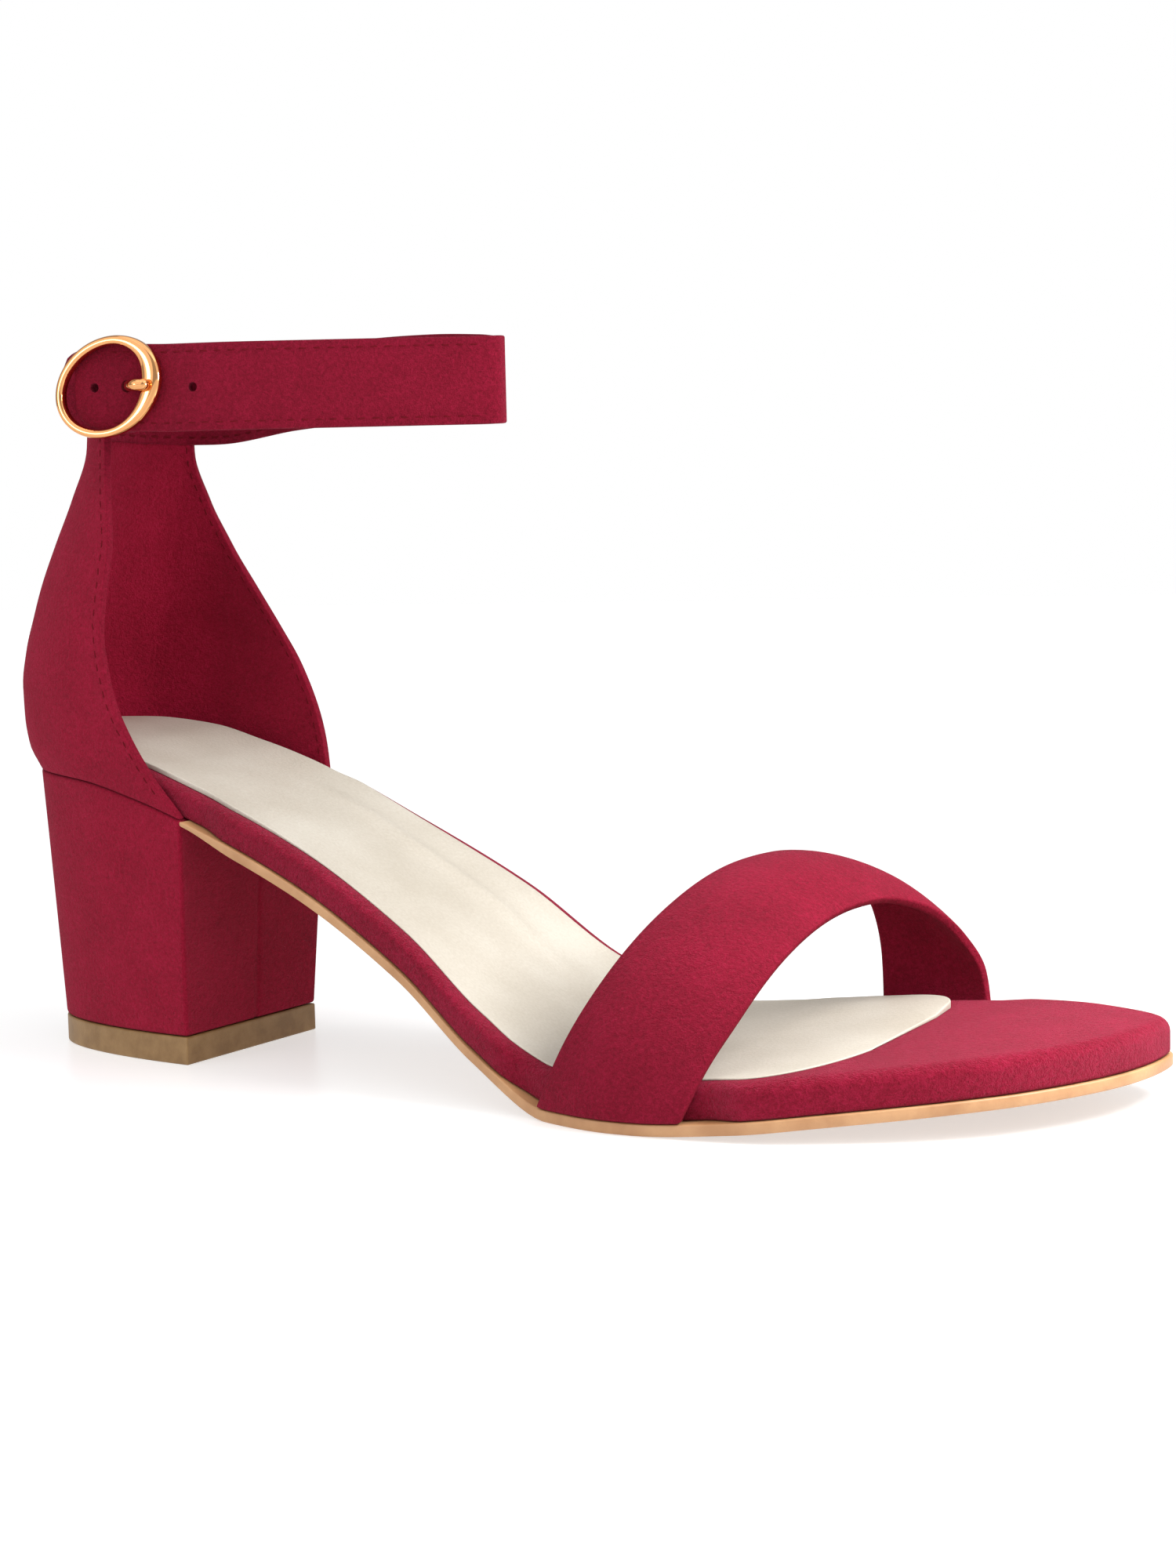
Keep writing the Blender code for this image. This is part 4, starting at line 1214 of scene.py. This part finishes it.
def bump(tree, shader, height, distance, strength=1.0):
    node = tree.nodes.new("ShaderNodeBump")
    fill_in(node, {"Distance": distance, "Strength": strength})
    tree.links.new(height, node.inputs["Height"])
    tree.links.new(node.outputs["Normal"], shader.inputs["Normal"])


def suede_material(name, tones, sheen=0.12, relief=0.0008, spread=0.11, grain=1400.0):
    """Brushed nap: faint clouds, fine mottling and a soft sheen."""
    material, tree, shader = new_material(name)
    coordinates = on_piece(tree)
    clouds = noise(tree, coordinates, 90.0, 3.0)
    mottle = noise(tree, coordinates, grain, 4.0, 0.65)
    nap = noise(tree, coordinates, grain * 3, 3.0, 0.7)
    tone = weighted(tree, ((clouds, 0.18), (mottle, 0.38), (nap, 0.44)))
    stops = tuple(zip((0.5 - spread, 0.5, 0.5 + spread), tones))
    tree.links.new(ramp(tree, tone, stops), shader.inputs["Base Color"])
    fill_in(shader, {
        "Roughness": 0.92,
        "Specular IOR Level": 0.12,
        "Sheen Weight": sheen,
        "Sheen Roughness": 0.25,
        "Sheen Tint": SHEEN_TINT,
    })
    bump(tree, shader, weighted(tree, ((mottle, 0.6), (nap, 0.4))), relief)
    return material


def sock_material():
    """Cream lining leather with a fine pore grain."""
    material, tree, shader = new_material("sock_cream")
    coordinates = on_piece(tree)
    clouds = noise(tree, coordinates, 40.0, 2.0)
    grain = noise(tree, coordinates, 1600.0, 3.0)
    tone = weighted(tree, ((clouds, 0.6), (grain, 0.4)))
    tree.links.new(ramp(tree, tone, SOCK_STOPS), shader.inputs["Base Color"])
    fill_in(shader, {"Roughness": 0.5, "Specular IOR Level": 0.4})
    bump(tree, shader, grain, 0.0002, 0.5)
    return material


def plain_material(name, stops, scale, roughness, relief):
    """Lightly mottled surface with a fine relief."""
    material, tree, shader = new_material(name)
    coordinates = on_piece(tree)
    tone = noise(tree, coordinates, scale, 3.0)
    tree.links.new(ramp(tree, tone, stops), shader.inputs["Base Color"])
    shader.inputs["Roughness"].default_value = roughness
    bump(tree, shader, noise(tree, coordinates, scale * 12, 2.0), relief, 0.6)
    return material


def gold_material():
    """Polished light gold plating."""
    material, tree, shader = new_material("polished_gold")
    fill_in(shader, {"Base Color": GOLD, "Metallic": 1.0, "Roughness": 0.08})
    bump(tree, shader, noise(tree, on_piece(tree), 300.0, 2.0), 0.00002, 0.3)
    return material


def floor_material():
    material, tree, shader = new_material("floor_white")
    fill_in(shader, {
        "Base Color": (0.50, 0.50, 0.50, 1.0),
        "Roughness": 0.30,
        "Emission Color": WHITE,
        "Emission Strength": 0.55,
        "Specular IOR Level": 0.35,
    })
    return material


def add_camera():
    ahead = Vector(CAMERA_AHEAD).normalized()
    right = Vector(CAMERA_RIGHT)
    right = (right - ahead * right.dot(ahead)).normalized()
    up = right.cross(ahead)
    turn = Matrix((right, up, -ahead)).transposed().to_4x4()
    data = bpy.data.cameras.new("camera")
    data.lens = CAMERA_LENS
    data.sensor_width = 36.0
    data.clip_start = 0.01
    camera = bpy.data.objects.new("camera", data)
    camera.matrix_world = Matrix.Translation(CAMERA_PLACE) @ turn
    bpy.context.scene.collection.objects.link(camera)
    bpy.context.scene.camera = camera


def add_light(name, kind, power, aim):
    """New light that shines along a direction."""
    data = bpy.data.lights.new(name, kind)
    data.energy = power
    light = bpy.data.objects.new(name, data)
    light.rotation_mode = "QUATERNION"
    light.rotation_quaternion = Vector(aim).to_track_quat("-Z", "Y")
    bpy.context.scene.collection.objects.link(light)
    return light


def add_sun(name, direction, strength, width):
    """Soft distant light."""
    add_light(name, "SUN", strength, direction).data.angle = math.radians(width)


def add_panel(name, place, target, power, size):
    """Square light near the shoe, aimed at a target and not seen itself."""
    light = add_light(name, "AREA", power, Vector(target) - Vector(place))
    light.data.size = size
    light.location = place
    light.visible_camera = False


def add_world():
    """White surroundings that light the shoe less than they show."""
    world = bpy.data.worlds.new("studio")
    world.use_nodes = True
    tree = world.node_tree
    lighting = tree.nodes["Background"]
    fill_in(lighting, {"Color": WHITE, "Strength": AMBIENT})
    shown = tree.nodes.new("ShaderNodeBackground")
    fill_in(shown, {"Color": WHITE, "Strength": 1.0})
    path = tree.nodes.new("ShaderNodeLightPath")
    mix = tree.nodes.new("ShaderNodeMixShader")
    tree.links.new(path.outputs["Is Camera Ray"], mix.inputs["Fac"])
    tree.links.new(lighting.outputs["Background"], mix.inputs[1])
    tree.links.new(shown.outputs["Background"], mix.inputs[2])
    tree.links.new(mix.outputs["Shader"], tree.nodes["World Output"].inputs["Surface"])
    bpy.context.scene.world = world


def add_stage():
    """White floor, lights and surroundings."""
    mesh = bpy.data.meshes.new("floor")
    bm = bmesh.new()
    bmesh.ops.create_grid(bm, x_segments=1, y_segments=1, size=4.0)
    bm.to_mesh(mesh)
    bm.free()
    mesh.materials.append(floor_material())
    floor = bpy.data.objects.new("floor", mesh)
    bpy.context.scene.collection.objects.link(floor)
    for sun in SUNS:
        add_sun(*sun)
    for panel in PANELS:
        add_panel(*panel)
    add_world()


def dress():
    """The materials, and the pieces that stand for the part's nodes."""
    suede = suede_material("suede_crimson", SUEDE_TONES)
    # The strap, the toe band and the raw edges below take the darker copy of the suede, which is
    # painted shade
    strap_suede = suede_material("suede_painted_shade", SHADED_SUEDE_TONES)
    nap = suede_material("suede_footbed", FOOTBED_TONES, 0.23, 0.0014, 0.10, 1250.0)
    raw = suede_material("suede_raw_edge", SHADED_SUEDE_TONES, 0.0)
    thread = suede_material("thread_red", THREAD_TONES, 0.0, 0.0001)
    edge = plain_material("sole_edge_tan", EDGE_STOPS, 120.0, 0.45, 0.0001)
    tread = plain_material("sole_tread_tan", TREAD_STOPS, 300.0, 0.6, 0.0002)
    rubber = plain_material("lift_rubber", RUBBER_STOPS, 200.0, 0.5, 0.0001)
    gold = gold_material()
    make_outsole(edge, tread)
    make_platform(nap)
    make_sock(sock_material())
    make_heel(suede)
    make_top_piece(rubber)
    make_counter(suede, raw)
    make_band(strap_suede, raw)
    make_strap(strap_suede)
    make_buckle_ring(gold)
    make_prong(gold)
    make_strap_stitches(thread)
    make_counter_stitches(thread)


def main():
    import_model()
    bpy.context.scene.view_settings.view_transform = "Standard"
    add_camera()
    add_stage()
    dress()


main()
